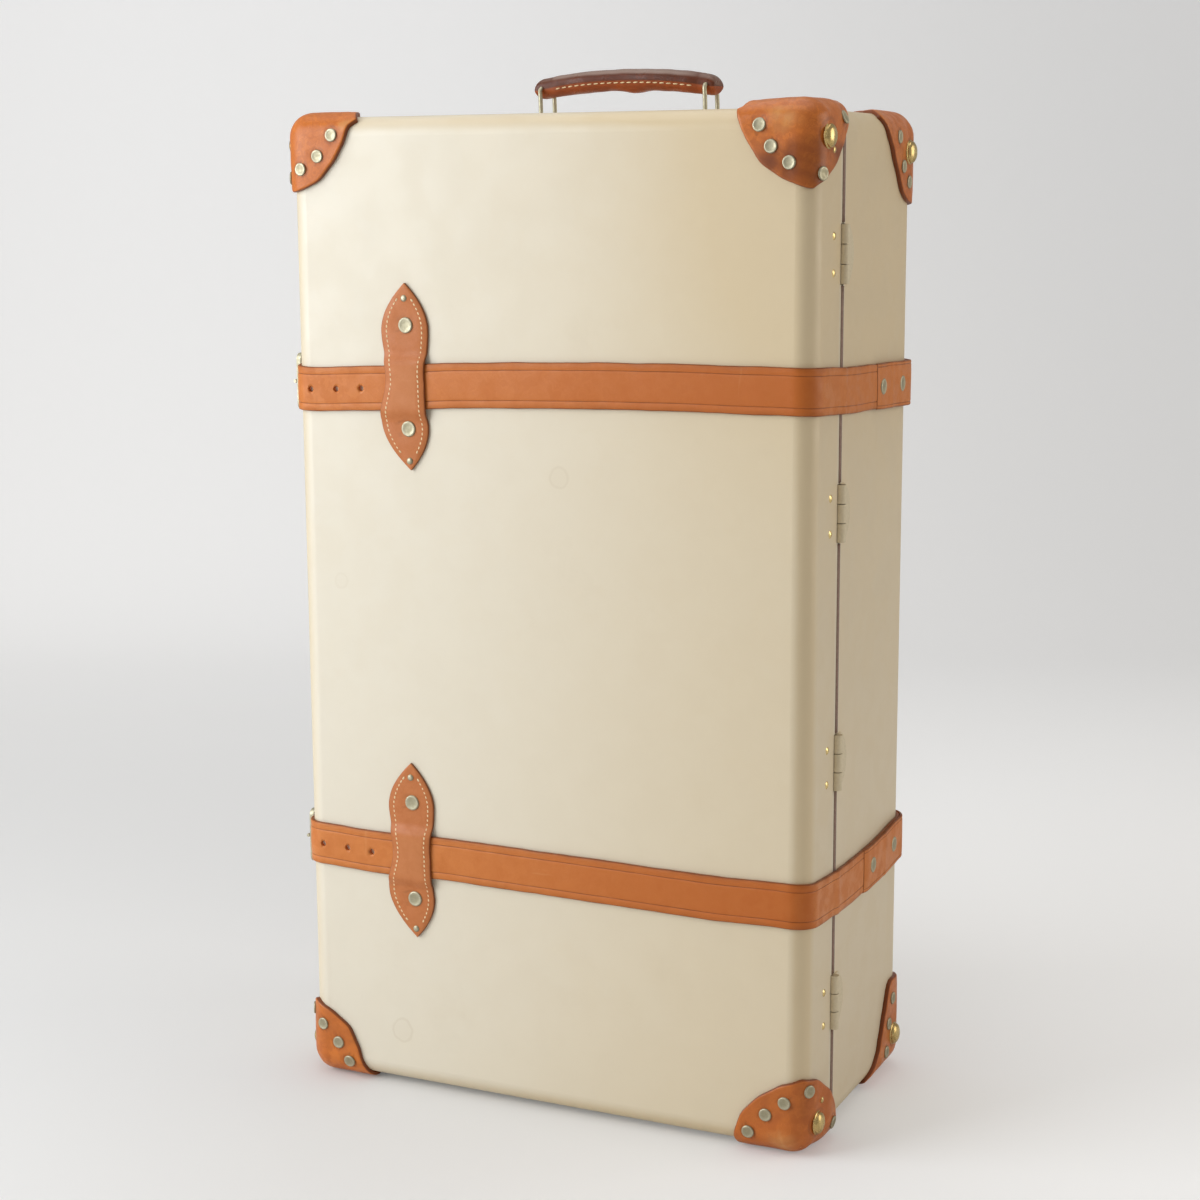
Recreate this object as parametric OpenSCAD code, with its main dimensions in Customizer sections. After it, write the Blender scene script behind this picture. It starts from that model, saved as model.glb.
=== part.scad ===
// Old travelling case of vulcanised fibre with leather corners, two straps and an end handle.
// It stands on its lower end. X runs across the lid face, -Y is the lid face, +X is the hinge side.
// The origin is on the floor under the middle of the case, and all lengths are in millimetres.

/* [Case] */
// Width of the case across the lid face
case_w = 425; // [380:1:480]
// Depth of the closed case, lid face to back
case_d = 221; // [200:1:260]
// Height of the standing case without the leather
case_h = 760; // [720:1:820]
// Depth of the lid alone
lid_depth = 56; // [54:0.1:76]
// Gap between the lid's edge and the base's edge
seam_gap = 3; // [2.6:0.1:3.4]
// Radius of every outer edge
edge_r = 15; // [12:0.5:20]
// Thickness of the fibreboard wall
wall = 3; // [2.6:0.1:3.6]

/* [Lip and linings] */
// How far the inner lip enters the lid, past the lid's edge
lip_reach = 12; // [8:0.5:16]
// How far the lip is glued down inside the base
lip_seat = 18; // [12:0.5:24]
// Thickness of the lip board where it enters the lid
lip_t = 1.6; // [1.2:0.1:2.2]
// Clearance between the lip and the lid wall
lip_clear = 1; // [0.8:0.1:1.4]
// Thickness of the lining boards
lining_t = 1.5; // [1:0.1:2]
// Gap between the lining boards and the lip
lining_gap = 1; // [0.6:0.1:2]

/* [Leather corners] */
// Thickness of the leather
leather_t = 4; // [3:0.1:5]
// Radius of the sphere that trims a lid corner
lid_corner_r = 56; // [50:0.5:60]
// Distance of that sphere's centre outside the hinge side
lid_corner_out = 1; // [0:0.5:9]
// Distance of that sphere's centre behind the lid face
lid_corner_in = 1; // [0:0.5:9]
// Radius of the sphere that trims a base corner
base_corner_r = 158; // [150:1:162]
// Distance of that sphere's centre outside each face of the case
base_corner_out = 60; // [58:1:66]

/* [Rivets and studs] */
// Diameter of a corner rivet's head
rivet_d = 10; // [7:0.5:11]
// Height of a corner rivet's head
rivet_h = 1.8; // [1.2:0.1:2.6]
// Diameter of a domed stud
stud_d = 18.5; // [16:0.5:21]
// Height of a domed stud above the leather
stud_h = 5.5; // [4.5:0.5:7.5]
// Diameter of a nail's head
nail_d = 5; // [4:0.5:6]
// Height of a nail's head
nail_h = 1; // [0.6:0.1:1.6]

/* [Straps] */
// Width of both straps
strap_w = 34; // [28:1:36]
// Thickness of the straps
strap_t = 3; // [2.4:0.1:3.4]
// Height of the upper strap's middle above the lower end
strap_upper_h = 559; // [550:1:572]
// Height of the lower strap's middle above the lower end
strap_lower_h = 191; // [180:1:200]
// Clearance between the back straps and the case
strap_gap = 0.3; // [0.3:0.05:0.5]
// Distance from the seam's middle at which both lengths of a strap stop
strap_cut = 3.4; // [3.2:0.1:4]
// Gap between a strap's bending run and the back length
flex_gap = 0.3; // [0.2:0.05:0.4]
// Thickness of the doubled end of the back length
patch_t = 2.6; // [2:0.1:3]
// Length of the doubled end along the hinge side
patch_l = 74; // [60:1:86]
// How far the doubled end goes round on the back
patch_back = 46; // [36:1:60]
// How far the tongue runs past the seam
tongue_l = 46; // [38:1:60]
// Length of the tongue's pointed end
tongue_point = 16; // [10:1:20]
// Diameter of a punched hole
hole_d = 5; // [4:0.5:6]
// Distance between punched holes
hole_pitch = 23; // [18:1:26]
// Distance of the first hole from the lock side
hole_first = 16; // [12:1:24]

/* [Tabs] */
// Place of the tabs across the lid, left of the middle
tab_x = 110; // [90:1:120]
// Height of a tab
tab_h = 141; // [128:1:150]
// Width of a tab at its two bulges
tab_w = 39; // [32:1:42]
// Width of a tab at its waist
tab_waist = 35; // [28:1:38]
// Thickness of a tab
tab_t = 2.2; // [1.8:0.1:3]
// Clearance between a tab and the strap that it holds
tab_gap = 0.3; // [0.2:0.05:0.5]
// Height of the upper tabs' middle above the upper strap's middle
tab_rise_upper = 7.5; // [0:0.5:9]
// Height of the lower tabs' middle above the lower strap's middle
tab_rise_lower = 4.5; // [0:0.5:9]
// Distance of a tab's rivets from its middle
tab_rivet_z = 39; // [34:1:44]
// Distance of a tab's nails from its middle
tab_nail_z = 61; // [56:1:64]
// Diameter of a tab's rivets
tab_rivet_d = 12; // [9:0.5:13]

/* [Handles] */
// Distance between the two loops of a handle
loop_span = 140; // [120:1:156]
// Diameter of the loop wire
wire_d = 3.4; // [3:0.1:4]
// Distance between a loop's legs
loop_w = 25; // [22:0.5:30]
// Height of a loop's bar above the case
bar_h = 24; // [20:0.5:28]
// Rise of the grip's middle above its ends
grip_rise = 6.5; // [3:0.5:9]
// Thickness of the grip
grip_t = 16; // [12:0.5:17]
// Width of the grip
grip_w = 26; // [22:0.5:30]
// Radius of the grip's wrapped ends
grip_end_r = 7.5; // [6:0.5:8.5]
// Clearance between the grip's ends and the wire
grip_gap = 0.1; // [0.05:0.05:0.3]
// Place of the end handle behind the middle of the case
end_handle_y = 47.5; // [40:0.5:60]
// Place of the side handle behind the middle of the case
side_handle_y = 37; // [30:0.5:44]
// Thickness of the clench plates inside
clench_t = 1.5; // [1:0.1:2]
// Length of a loop's riveted end past its clench plate
clench_tip = 1.2; // [0.6:0.1:2]

/* [Hinges] */
// Distance of the hinge axis outside the case
axis_out = 1.5; // [1.3:0.1:1.8]
// Outer diameter of the hinge barrels
barrel_d = 7.6; // [7:0.1:8.4]
// Diameter of the hinge pins
pin_d = 3; // [2.4:0.1:3.4]
// Radial clearance between the pins and the lid's knuckles
pin_clear = 0.05; // [0.02:0.01:0.09]
// Length of a hinge
hinge_l = 42; // [36:1:46]
// Gap between two knuckles
knuckle_gap = 0.6; // [0.4:0.1:1]
// Width of the base leaf
leaf_w = 17; // [14:0.5:22]
// Thickness of both leaves
leaf_t = 1.4; // [1:0.1:1.5]
// Length of the lid leaf inside the lid
lid_leaf_w = 26; // [24:0.5:30]
// Distance of the inner hinges from the middle
hinge_inner = 93; // [80:1:110]
// Distance of the outer hinges from the middle
hinge_outer = 279; // [262:1:292]
// Clearance between a hinge's barrel and the board round it
barrel_clear = 0.6; // [0.4:0.1:1]

/* [Buckles] */
// Diameter of a buckle's heel bar
heel_d = 4; // [3.4:0.1:4.4]
// Distance of the buckle's far bar behind the rounded edge of the lid
far_bar_in = 1; // [0.5:0.5:3]
// Distance between the heel bar and the far bar
buckle_l = 26; // [23:0.5:28]
// Width of the opening in a buckle's frame
buckle_in = 36; // [35:0.5:40]
// Width of the frame's arms
buckle_arm = 4; // [3:0.1:5]
// Thickness of the frame
buckle_t = 3.6; // [3:0.1:4]
// Thickness of the leather loop round the heel bar
chape_t = 2; // [1.6:0.1:2.4]
// Clearance between bars and what turns on them
bar_clear = 0.08; // [0.04:0.01:0.1]
// Diameter of a prong
prong_d = 2.8; // [2.4:0.1:3.2]
// Clearance between layers that lie on each other
lay_gap = 0.3; // [0.25:0.05:0.4]
// Width of the keeper band
keeper_w = 10; // [8:0.5:14]
// Thickness of the keeper band
keeper_t = 1.6; // [1.2:0.1:2]
// Distance of the strap's keeper behind the reach of the prong when it is turned back
keeper_room = 1.5; // [1:0.5:4]

/* [Locks] */
// Distance of the upper lock below the upper strap
lock_below_strap = 53; // [48:1:60]
// Distance of the lower lock above the lower strap
lock_above_strap = 63; // [50:1:80]
// Width of the lock case
lock_w = 34; // [30:1:38]
// Thickness of the lock case
lock_t = 7; // [6.6:0.1:8]
// Length of the lock case
lock_l = 27; // [26:0.5:30]
// Distance of the lock case from the seam's middle
lock_from_seam = 3; // [2.5:0.1:4]
// Distance of the hasp's pin from the seam, on the lid side
hasp_pin_at = 9; // [8:0.5:11]
// Diameter of the hasp's knuckles
hasp_knuckle_d = 4.8; // [4.4:0.1:5.2]
// Diameter of the hasp's pin
hasp_pin_d = 2; // [1.6:0.1:2.4]
// Width of the hasp
hasp_w = 18; // [16:0.5:20]
// Length of the hasp's plate on the lid
hasp_plate_l = 22; // [18:0.5:26]
// Width of the hasp's plate on the lid
hasp_plate_w = 26; // [24:0.5:30]
// Width of each ear that holds the hasp's pin
hasp_ear = 3.8; // [3:0.1:4.4]
// Thickness of the hasp and its plate
hasp_t = 1.5; // [1.2:0.1:1.8]
// Travel of the lock button
slide_travel = 8; // [7:0.5:8.5]
// Clearance round the sliding bolt
slide_clear = 0.2; // [0.15:0.05:0.3]

/* [Wheels] */
// Radius of a wheel
wheel_r = 24; // [20:0.5:26]
// Width of a wheel
wheel_w = 20; // [16:0.5:22]
// Distance of the wheels from the middle
wheel_x = 120; // [100:1:130]
// Distance that a wheel stands out behind the case
wheel_out = 10; // [6:0.5:12]
// Height of a wheel above the floor while the case stands
wheel_lift = 1; // [0.5:0.1:2.5]
// Clearance round a wheel
wheel_clear = 3; // [2:0.1:4]
// Thickness of the pressed housing
housing_t = 1.5; // [1:0.1:2]
// Diameter of the axle
axle_d = 6; // [5:0.1:7]
// Radial clearance between the wheel and its axle
axle_clear = 0.06; // [0.02:0.01:0.09]

/* [Hidden] */
$fn = 48;

// Faces of the case. The leather corners under the lower end carry it, so the board starts there.
z_low = leather_t;
z_high = z_low + case_h;
z_mid = (z_low + z_high) / 2;
y_front = -case_d / 2;
y_back = case_d / 2;
x_side = case_w / 2;
y_lid_edge = y_front + lid_depth;
y_base_edge = y_lid_edge + seam_gap;
y_seam = (y_lid_edge + y_base_edge) / 2;
x_axis = x_side + axis_out;

// Places of the heads on the leather corners: distance from the upright edge, then from the end.
lid_front_heads = [[0.707, 0.223], [0.505, 0.495], [0.25, 0.7]] * lid_corner_r;
lid_side_heads = [[0.143, 0.857], [0.866, 0.107]] * lid_corner_r;
lid_nail = [0.446, 0.571] * lid_corner_r;
lid_stud = [0.357, 0.375] * lid_corner_r;
base_side_heads = [[0.768, 0.286], [0.616, 0.679], [0.375, 0.929]] * lid_corner_r;
base_back_heads = [[0.75, 0.357], [0.357, 0.75]] * lid_corner_r;
base_stud = [0.411, 0.5] * lid_corner_r;

// Heights of the straps, the tabs, the locks and the hinges.
z_strap = [z_low + strap_upper_h, z_low + strap_lower_h];
tab_rise = [tab_rise_upper, tab_rise_lower];
z_tab = [z_strap[0] + tab_rise[0], z_strap[1] + tab_rise[1]];
z_lock = [z_strap[0] - lock_below_strap, z_strap[1] + lock_above_strap];
z_hinge = [z_mid - hinge_outer, z_mid - hinge_inner, z_mid + hinge_inner, z_mid + hinge_outer];

// Places inside the buckles, measured outward from the lock side and from the seam.
chape_r = heel_d / 2 + bar_clear + chape_t;
heel_q = strap_gap + chape_r;
tongue_start = y_front + edge_r - y_seam;
far_x = tongue_start + far_bar_in;
heel_x = far_x + buckle_l;
prong_l = buckle_l + 2;
keeper_at = heel_x + prong_l + keeper_room;
frame_q = strap_t + lay_gap;
tongue_low_q = 2 * lay_gap + strap_t;
tongue_high_q = heel_q + chape_r + lay_gap;
prong_q = frame_q + buckle_t + 0.1 + prong_d / 2;
prong_ring_r = heel_d / 2 + bar_clear + 1.5;
chape_slot = prong_ring_r + 6;

// Places inside the locks.
hasp_pin_q = lock_t + lay_gap + hasp_t - hasp_knuckle_d / 2;
staple_x = lock_from_seam + 9;
staple_in = 4.4;
staple_wire = 1.6;
arm_w = 4;
arm_y = slide_travel + 1.8;
bolt_y = 3.2;
bolt = 3.6;
bolt_q = 3;
hasp_end = staple_x + 5;
hasp_knuckle_l = 10;
hasp_ear_at = hasp_knuckle_l / 2 + 0.2 + hasp_ear / 2;

// Places of the wheels.
wheel_y = y_back + wheel_out - wheel_r;
wheel_z = wheel_lift + wheel_r;
housing_w = wheel_w + 2 * wheel_clear;
housing_r = wheel_r + wheel_clear;

fibre = [0.80, 0.76, 0.65];
fibre_lining = [0.72, 0.62, 0.47];
strap_tan = [0.70, 0.43, 0.22];
corner_red = [0.55, 0.29, 0.17];
tab_brown = [0.60, 0.35, 0.19];
nickel = [0.62, 0.61, 0.58];
old_brass = [0.72, 0.56, 0.28];
dark_board = [0.22, 0.15, 0.10];

// A smooth step from 0 to 1 while t goes from 0 to 1.
function ease(t) = let (c = min(max(t, 0), 1)) c * c * (3 - 2 * c);

// A rectangle with round corners, grown by g from the given size.
module round_rect(x0, x1, y0, y1, r, g = 0) {
    a = x0 - g; b = x1 + g; c = y0 - g; d = y1 + g; q = r + g;
    union() {
        translate([a + q, c]) square([b - a - 2 * q, d - c]);
        translate([a, c + q]) square([b - a, d - c - 2 * q]);
        for (x = [a + q, b - q]) for (y = [c + q, d - q]) translate([x, y]) circle(r = q);
    }
}

// The outline of the closed case seen from above, grown by g.
module plan_outline(g) round_rect(-x_side, x_side, y_front, y_back, edge_r, g);

// The outline of the case seen from the lid face, grown by g.
module face_outline(g) round_rect(-x_side, x_side, z_low, z_high, edge_r, g);

// The outline of the case seen from the hinge side, grown by g.
module side_outline(g) round_rect(y_front, y_back, z_low, z_high, edge_r, g);

// The whole closed case as one solid block with round edges, grown by g.
module case_block(g) {
    intersection() {
        translate([0, 0, z_low - g]) linear_extrude(case_h + 2 * g) plan_outline(g);
        translate([0, y_back + g, 0]) rotate([90, 0, 0]) linear_extrude(case_d + 2 * g) face_outline(g);
        translate([-x_side - g, 0, 0]) rotate([90, 0, 90]) linear_extrude(case_w + 2 * g) side_outline(g);
    }
}

// A slice of space between two depths, wide enough for the whole case.
module depth_slice(y0, y1) {
    translate([-case_w, y0, -case_h / 4]) cube([2 * case_w, y1 - y0, 1.5 * case_h + 2 * z_low]);
}

// The same piece at the upper and lower end, on the hinge side and the lock side.
module four_ways() {
    for (mx = [0, 1]) for (mz = [0, 1])
        translate([0, 0, z_mid]) mirror([mx, 0, 0]) mirror([0, 0, mz]) translate([0, 0, -z_mid]) children();
}

// One place of the four, chosen by side (1 hinge, -1 lock) and end (1 upper, -1 lower).
module one_way(side, end) {
    translate([0, 0, z_mid]) mirror([side < 0 ? 1 : 0, 0, 0]) mirror([0, 0, end < 0 ? 1 : 0])
        translate([0, 0, -z_mid]) children();
}

// How far a spot at distance a from an outer edge tilts towards that edge on a surface grown by g.
function tilt(a, g) = a < edge_r ? asin((edge_r - a) / (edge_r + g)) : 0;
// How far that spot lies below the face grown by g.
function sag(a, g) = (edge_r + g) * (1 - cos(tilt(a, g)));

// Puts a piece on the lid face at the upper hinge corner, a from the side and b from the end.
module on_front(a, b, g) {
    translate([x_side - a, y_front - g + sag(a, g) + sag(b, g), z_high - b])
        rotate([-tilt(b, g), 0, tilt(a, g)]) rotate([90, 0, 0]) children();
}

// The same on the back.
module on_back(a, b, g) {
    translate([x_side - a, y_back + g - sag(a, g) - sag(b, g), z_high - b])
        rotate([tilt(b, g), 0, -tilt(a, g)]) rotate([-90, 0, 0]) children();
}

// The same on the hinge side, a from the lid face and b from the end.
module on_side_front(a, b, g) {
    translate([x_side + g - sag(a, g) - sag(b, g), y_front + a, z_high - b])
        rotate([0, -tilt(b, g), -tilt(a, g)]) rotate([0, 90, 0]) children();
}

// The same on the hinge side, a from the back and b from the end.
module on_side_back(a, b, g) {
    translate([x_side + g - sag(a, g) - sag(b, g), y_back - a, z_high - b])
        rotate([0, -tilt(b, g), tilt(a, g)]) rotate([0, 90, 0]) children();
}

// The lock side seen from outside, at height z: +X runs from the seam to the back, +Z outward.
module on_lock(z) {
    translate([-x_side, y_seam, z]) rotate([0, -90, 0]) rotate([0, 0, 90]) children();
}

// A domed head that stands on its seat: a slice of a sphere of the given width and height.
module dome(d, h) {
    r = (d * d / 4 + h * h) / (2 * h);
    intersection() {
        translate([0, 0, h - r]) sphere(r = r);
        cylinder(d = d + 1, h = h + 1);
    }
}

// A domed stud with a turned foot ring.
module stud() {
    cylinder(d = stud_d, h = 1.2);
    translate([0, 0, 1.2]) dome(stud_d - 2, stud_h - 1.2);
}

// Boards of the case.
module half_shell(y0, y1) {
    intersection() {
        difference() { case_block(0); case_block(-wall); }
        depth_slice(y0, y1);
    }
}

// Room in the boards for the hinge barrels.
module barrel_room() {
    for (z = z_hinge) translate([x_axis, y_seam, z - hinge_l / 2 - barrel_clear])
        cylinder(d = barrel_d + 2 * barrel_clear, h = hinge_l + 2 * barrel_clear);
}

// Holes for the legs of the handle loops, through the wall.
module leg_holes() {
    end_handle_place() loop_legs(wall + 2, 0);
    side_handle_place() loop_legs(wall + 2, 0);
}

module base_shell() {
    color(fibre) difference() {
        half_shell(y_base_edge, y_back + 1);
        barrel_room();
        leg_holes();
        for (s = [-1, 1]) wheel_room(s);
    }
}

module lid_shell() {
    color(fibre) difference() {
        half_shell(y_front - 1, y_lid_edge);
        barrel_room();
    }
}

// The dark inner lip: glued inside the base, and stepped in where it enters the lid.
module base_lip() {
    step = wall + lip_clear;
    color(dark_board) difference() {
        union() {
            translate([0, y_base_edge + lip_seat, 0]) rotate([90, 0, 0])
                linear_extrude(lip_seat) face_outline(-wall);
            translate([0, y_base_edge, 0]) rotate([90, 0, 0])
                linear_extrude(seam_gap + lip_reach) face_outline(-step);
        }
        translate([0, y_base_edge + lip_seat + 1, 0]) rotate([90, 0, 0])
            linear_extrude(seam_gap + lip_reach + lip_seat + 2) face_outline(-step - lip_t);
        // The lid's hinge leaves pass here.
        for (z = z_hinge) translate([x_side - wall - 8, y_base_edge - seam_gap - lip_reach - 1, z - hinge_l / 2 - 1])
            cube([10, seam_gap + lip_reach + 1, hinge_l + 2]);
    }
}

module half_lining(y0, y1) {
    intersection() {
        difference() { case_block(-wall); case_block(-wall - lining_t); }
        depth_slice(y0, y1);
    }
}

module base_lining() {
    color(fibre_lining) difference() {
        half_lining(y_base_edge + lip_seat + lining_gap, y_back);
        for (s = [-1, 1]) wheel_room(s, lining_gap);
        end_handle_place() clench_room();
        side_handle_place() clench_room();
    }
}

module lid_lining() {
    color(fibre_lining) difference() {
        half_lining(y_front, y_lid_edge - lip_reach - lining_gap);
        for (z = z_hinge) translate([x_side - wall - 10, y_lid_edge - lid_leaf_w - 2, z - hinge_l / 2 - 1])
            cube([12, lid_leaf_w + 4, hinge_l + 2]);
    }
}

// A moulded leather cap: the skin round a corner, trimmed by a sphere.
module leather_skin() {
    difference() { case_block(leather_t); case_block(0); }
}

module lid_corner(side) {
    color(corner_red) intersection() {
        leather_skin();
        translate([x_side + (side > 0 ? lid_corner_out : 0), y_front + lid_corner_in, z_high])
            sphere(r = lid_corner_r, $fn = 120);
        depth_slice(y_front - 2 * leather_t, y_seam - strap_cut);
    }
}

module base_corner() {
    color(corner_red) intersection() {
        leather_skin();
        translate([x_side + base_corner_out, y_back + base_corner_out, z_high + base_corner_out])
            sphere(r = base_corner_r, $fn = 240);
    }
}

module lid_corner_hinge_top() one_way(1, 1) lid_corner(1);
module lid_corner_hinge_bottom() one_way(1, -1) lid_corner(1);
module lid_corner_lock_top() one_way(-1, 1) lid_corner(-1);
module lid_corner_lock_bottom() one_way(-1, -1) lid_corner(-1);
module base_corner_hinge_top() one_way(1, 1) base_corner();
module base_corner_hinge_bottom() one_way(1, -1) base_corner();
module base_corner_lock_top() one_way(-1, 1) base_corner();
module base_corner_lock_bottom() one_way(-1, -1) base_corner();

// Three rivets in front and two on the side of each lid corner, and a nail by the stud.
module lid_corner_rivets() {
    color(nickel) four_ways() {
        for (p = lid_front_heads) on_front(p[0], p[1], leather_t) dome(rivet_d, rivet_h);
        for (p = lid_side_heads) on_side_front(p[0], p[1], leather_t) dome(rivet_d, rivet_h);
        on_side_front(lid_nail[0], lid_nail[1], leather_t) dome(nail_d, nail_h);
    }
}

module base_corner_rivets() {
    color(nickel) four_ways() {
        for (p = base_side_heads) on_side_back(p[0], p[1], leather_t) dome(rivet_d, rivet_h);
        for (p = base_back_heads) on_back(p[0], p[1], leather_t) dome(rivet_d, rivet_h);
    }
}

module lid_studs() {
    color(old_brass) four_ways() on_side_front(lid_stud[0], lid_stud[1], leather_t) stud();
}

module base_studs() {
    color(old_brass) four_ways() on_side_back(base_stud[0], base_stud[1], leather_t) stud();
}

// A band round the case seen from above, from gap g, t thick.
module band(g, t) {
    difference() { plan_outline(g + t); plan_outline(g); }
}

// The punched holes of a strap's front length.
module punched(z) {
    for (i = [0:2]) translate([-x_side + hole_first + i * hole_pitch, y_front + 1, z])
        rotate([90, 0, 0]) cylinder(d = hole_d, h = strap_t + 2);
}

// A strap's front length: hinge side of the lid, lid face and round the edge to the lock side.
module strap_front(z) {
    color(strap_tan) difference() {
        translate([0, 0, z - strap_w / 2]) linear_extrude(strap_w) intersection() {
            band(0, strap_t);
            union() {
                translate([-case_w, y_front - 2 * strap_t]) square([2 * case_w, edge_r + 2 * strap_t]);
                translate([0, y_front]) square([case_w, y_seam - strap_cut - y_front]);
            }
        }
        punched(z);
    }
}

// The run that bends over the hinge side's seam.
module strap_flex(z) {
    color(strap_tan) translate([x_side, y_seam - strap_cut, z - strap_w / 2])
        cube([strap_t, 2 * strap_cut - flex_gap, strap_w]);
}

// A strap's back length with its doubled, riveted end and the loop round the buckle's heel bar.
module strap_back(z) {
    color(strap_tan) {
        translate([0, 0, z - strap_w / 2]) linear_extrude(strap_w) {
            intersection() {
                band(strap_gap, strap_t);
                union() {
                    translate([0, y_seam + strap_cut]) square([case_w, case_d]);
                    translate([-case_w, y_seam + heel_x + chape_r]) square([1.5 * case_w, case_d]);
                }
            }
            intersection() {
                band(strap_gap + strap_t, patch_t);
                translate([x_side - patch_back, y_back - patch_l]) square([case_w, case_d]);
            }
        }
        on_lock(z) chape();
    }
}

// The leather loop round the heel bar, split in the middle for the prong.
module chape() {
    difference() {
        translate([heel_x, strap_w / 2, 0]) rotate([90, 0, 0]) linear_extrude(strap_w) difference() {
            union() {
                translate([0, heel_q]) circle(r = chape_r);
                translate([0, strap_gap]) square([chape_r + 1, 2 * chape_r]);
                translate([chape_r, strap_gap]) square([9, strap_t + 1]);
            }
            translate([0, heel_q]) circle(d = heel_d + 2 * bar_clear);
            translate([chape_r + 6, heel_q + chape_r]) circle(r = 2 * chape_r - strap_t - 1);
        }
        translate([heel_x - chape_r - 1, -3.2, -1]) cube([chape_r + 1 + chape_slot, 6.4, 4 * chape_r]);
    }
}

// The tongue: under the far bar, up over the heel bar and down along the back length to its tip.
module strap_tongue(z) {
    x0 = tongue_start;
    n = 44;
    x1 = tongue_l;
    slot_w = hole_d + 0.4;
    slot_x0 = far_x + buckle_arm / 2 + 3;
    slot_x1 = heel_x - heel_d / 2;
    rise = function(x) tongue_high_q * ease((x - far_x - buckle_arm / 2 - 1) / 15)
        - (tongue_high_q - tongue_low_q) * ease((x - heel_x - chape_r - 1) / 14);
    low = [for (i = [0:n]) let (x = x0 + (x1 - x0) * i / n) [x, rise(x)]];
    high = [for (i = [n:-1:0]) let (x = x0 + (x1 - x0) * i / n) [x, rise(x) + strap_t]];
    color(strap_tan) on_lock(z) difference() {
        intersection() {
            translate([0, strap_w / 2, 0]) rotate([90, 0, 0]) linear_extrude(strap_w) polygon(concat(low, high));
            linear_extrude(40) polygon([[x0, -strap_w / 2], [x1 - tongue_point, -strap_w / 2],
                [x1, 0], [x1 - tongue_point, strap_w / 2], [x0, strap_w / 2]]);
        }
        // A long hole where the prong passes from under the strap to the top of the far bar.
        for (x = [slot_x0, slot_x1]) translate([x, 0, -1]) cylinder(d = slot_w, h = 30);
        translate([slot_x0, -slot_w / 2, -1]) cube([slot_x1 - slot_x0, slot_w, 30]);
    }
}

// The band that holds the tongue down on the base.
module strap_keepers() {
    top = tongue_low_q + strap_t + lay_gap;
    half = strap_w / 2 + lay_gap;
    color(tab_brown) for (z = z_strap) on_lock(z) translate([keeper_at, 0, 0]) rotate([90, 0, 90])
        linear_extrude(keeper_w) difference() {
            translate([-half - keeper_t, 0]) square([2 * (half + keeper_t), top + keeper_t]);
            translate([-half, -1]) square([2 * half, top + 1]);
        }
}

// Half the width of a tab at height v from its middle: a waist, two bulges and pointed ends.
function tab_half(v) = let (s = abs(v) / (tab_h / 2), k = 0.54)
    s < k ? tab_waist / 2 + (tab_w - tab_waist) / 2 * ease(s / k)
          : tab_w / 2 * (1 - pow((s - k) / (1 - k), 1.8));

// Height of a tab's underside over the case at distance v from the strap's middle.
function tab_under(v) = (strap_t + tab_gap) * (1 - ease((abs(v) - strap_w / 2 - 1) / 6));

// A leather tab, drawn flat with its underside following the strap that it holds.
module tab(rise) {
    n = 36;
    rows = [for (i = [0:n]) (i / n - 0.5) * tab_h];
    right = [for (v = rows) [tab_half(v), v]];
    left = [for (i = [n:-1:0]) [-tab_half(rows[i]), rows[i]]];
    under = [for (v = rows) [v, tab_under(v + rise)]];
    over = [for (i = [n:-1:0]) [rows[i], tab_under(rows[i] + rise) + tab_t]];
    intersection() {
        linear_extrude(30) polygon(concat(right, left));
        translate([-tab_w, 0, 0]) rotate([90, 0, 90]) linear_extrude(2 * tab_w) polygon(concat(under, over));
    }
}

module on_lid_face(z) translate([-tab_x, y_front, z]) rotate([90, 0, 0]) children();
module on_back_face(z) translate([-tab_x, y_back, z]) rotate([90, 0, 180]) children();

module tab_upper() color(tab_brown) on_lid_face(z_tab[0]) tab(tab_rise[0]);
module tab_lower() color(tab_brown) on_lid_face(z_tab[1]) tab(tab_rise[1]);
module back_tab_upper() color(tab_brown) on_back_face(z_tab[0]) tab_on_back(tab_rise[0]);
module back_tab_lower() color(tab_brown) on_back_face(z_tab[1]) tab_on_back(tab_rise[1]);
// On the back the strap stands off by its clearance, so the tab bridges a little higher.
module tab_on_back(rise) {
    difference() {
        tab(rise);
        translate([-tab_w, -rise - strap_w / 2 - lay_gap, -1])
            cube([2 * tab_w, strap_w + 2 * lay_gap, 1 + strap_gap + strap_t + 0.05]);
    }
}

// The four heads on one tab.
module tab_heads() {
    for (s = [-1, 1]) {
        translate([0, s * tab_rivet_z, tab_t]) dome(tab_rivet_d, rivet_h);
        translate([0, s * tab_nail_z, tab_t]) dome(nail_d, nail_h);
    }
}

module tab_rivets() color(nickel) for (z = z_tab) on_lid_face(z) tab_heads();

// Heads on the back tabs and on the doubled ends of the straps.
module strap_heads(i) {
    color(nickel) {
        on_back_face(z_tab[i]) tab_heads();
        for (a = [patch_l - 16, edge_r + 5])
            translate([x_side + strap_gap + strap_t + patch_t, y_back - a, z_strap[i]]) rotate([0, 90, 0])
                dome(rivet_d, rivet_h);
    }
}

module strap_upper_heads() strap_heads(0);
module strap_lower_heads() strap_heads(1);

// Places of the two handles: +X along the grip, +Z outward from the case.
module end_handle_place() translate([0, end_handle_y, z_high]) children();
module side_handle_place() translate([-x_side, side_handle_y, z_mid]) rotate([0, -90, 0]) children();

// The legs of both loops, from the bar's corners down to a depth inside the case.
module loop_legs(depth, up) {
    for (s = [-1, 1]) for (t = [-1, 1])
        translate([s * loop_span / 2, t * loop_w / 2, -depth]) cylinder(d = wire_d, h = depth + up);
}

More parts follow.
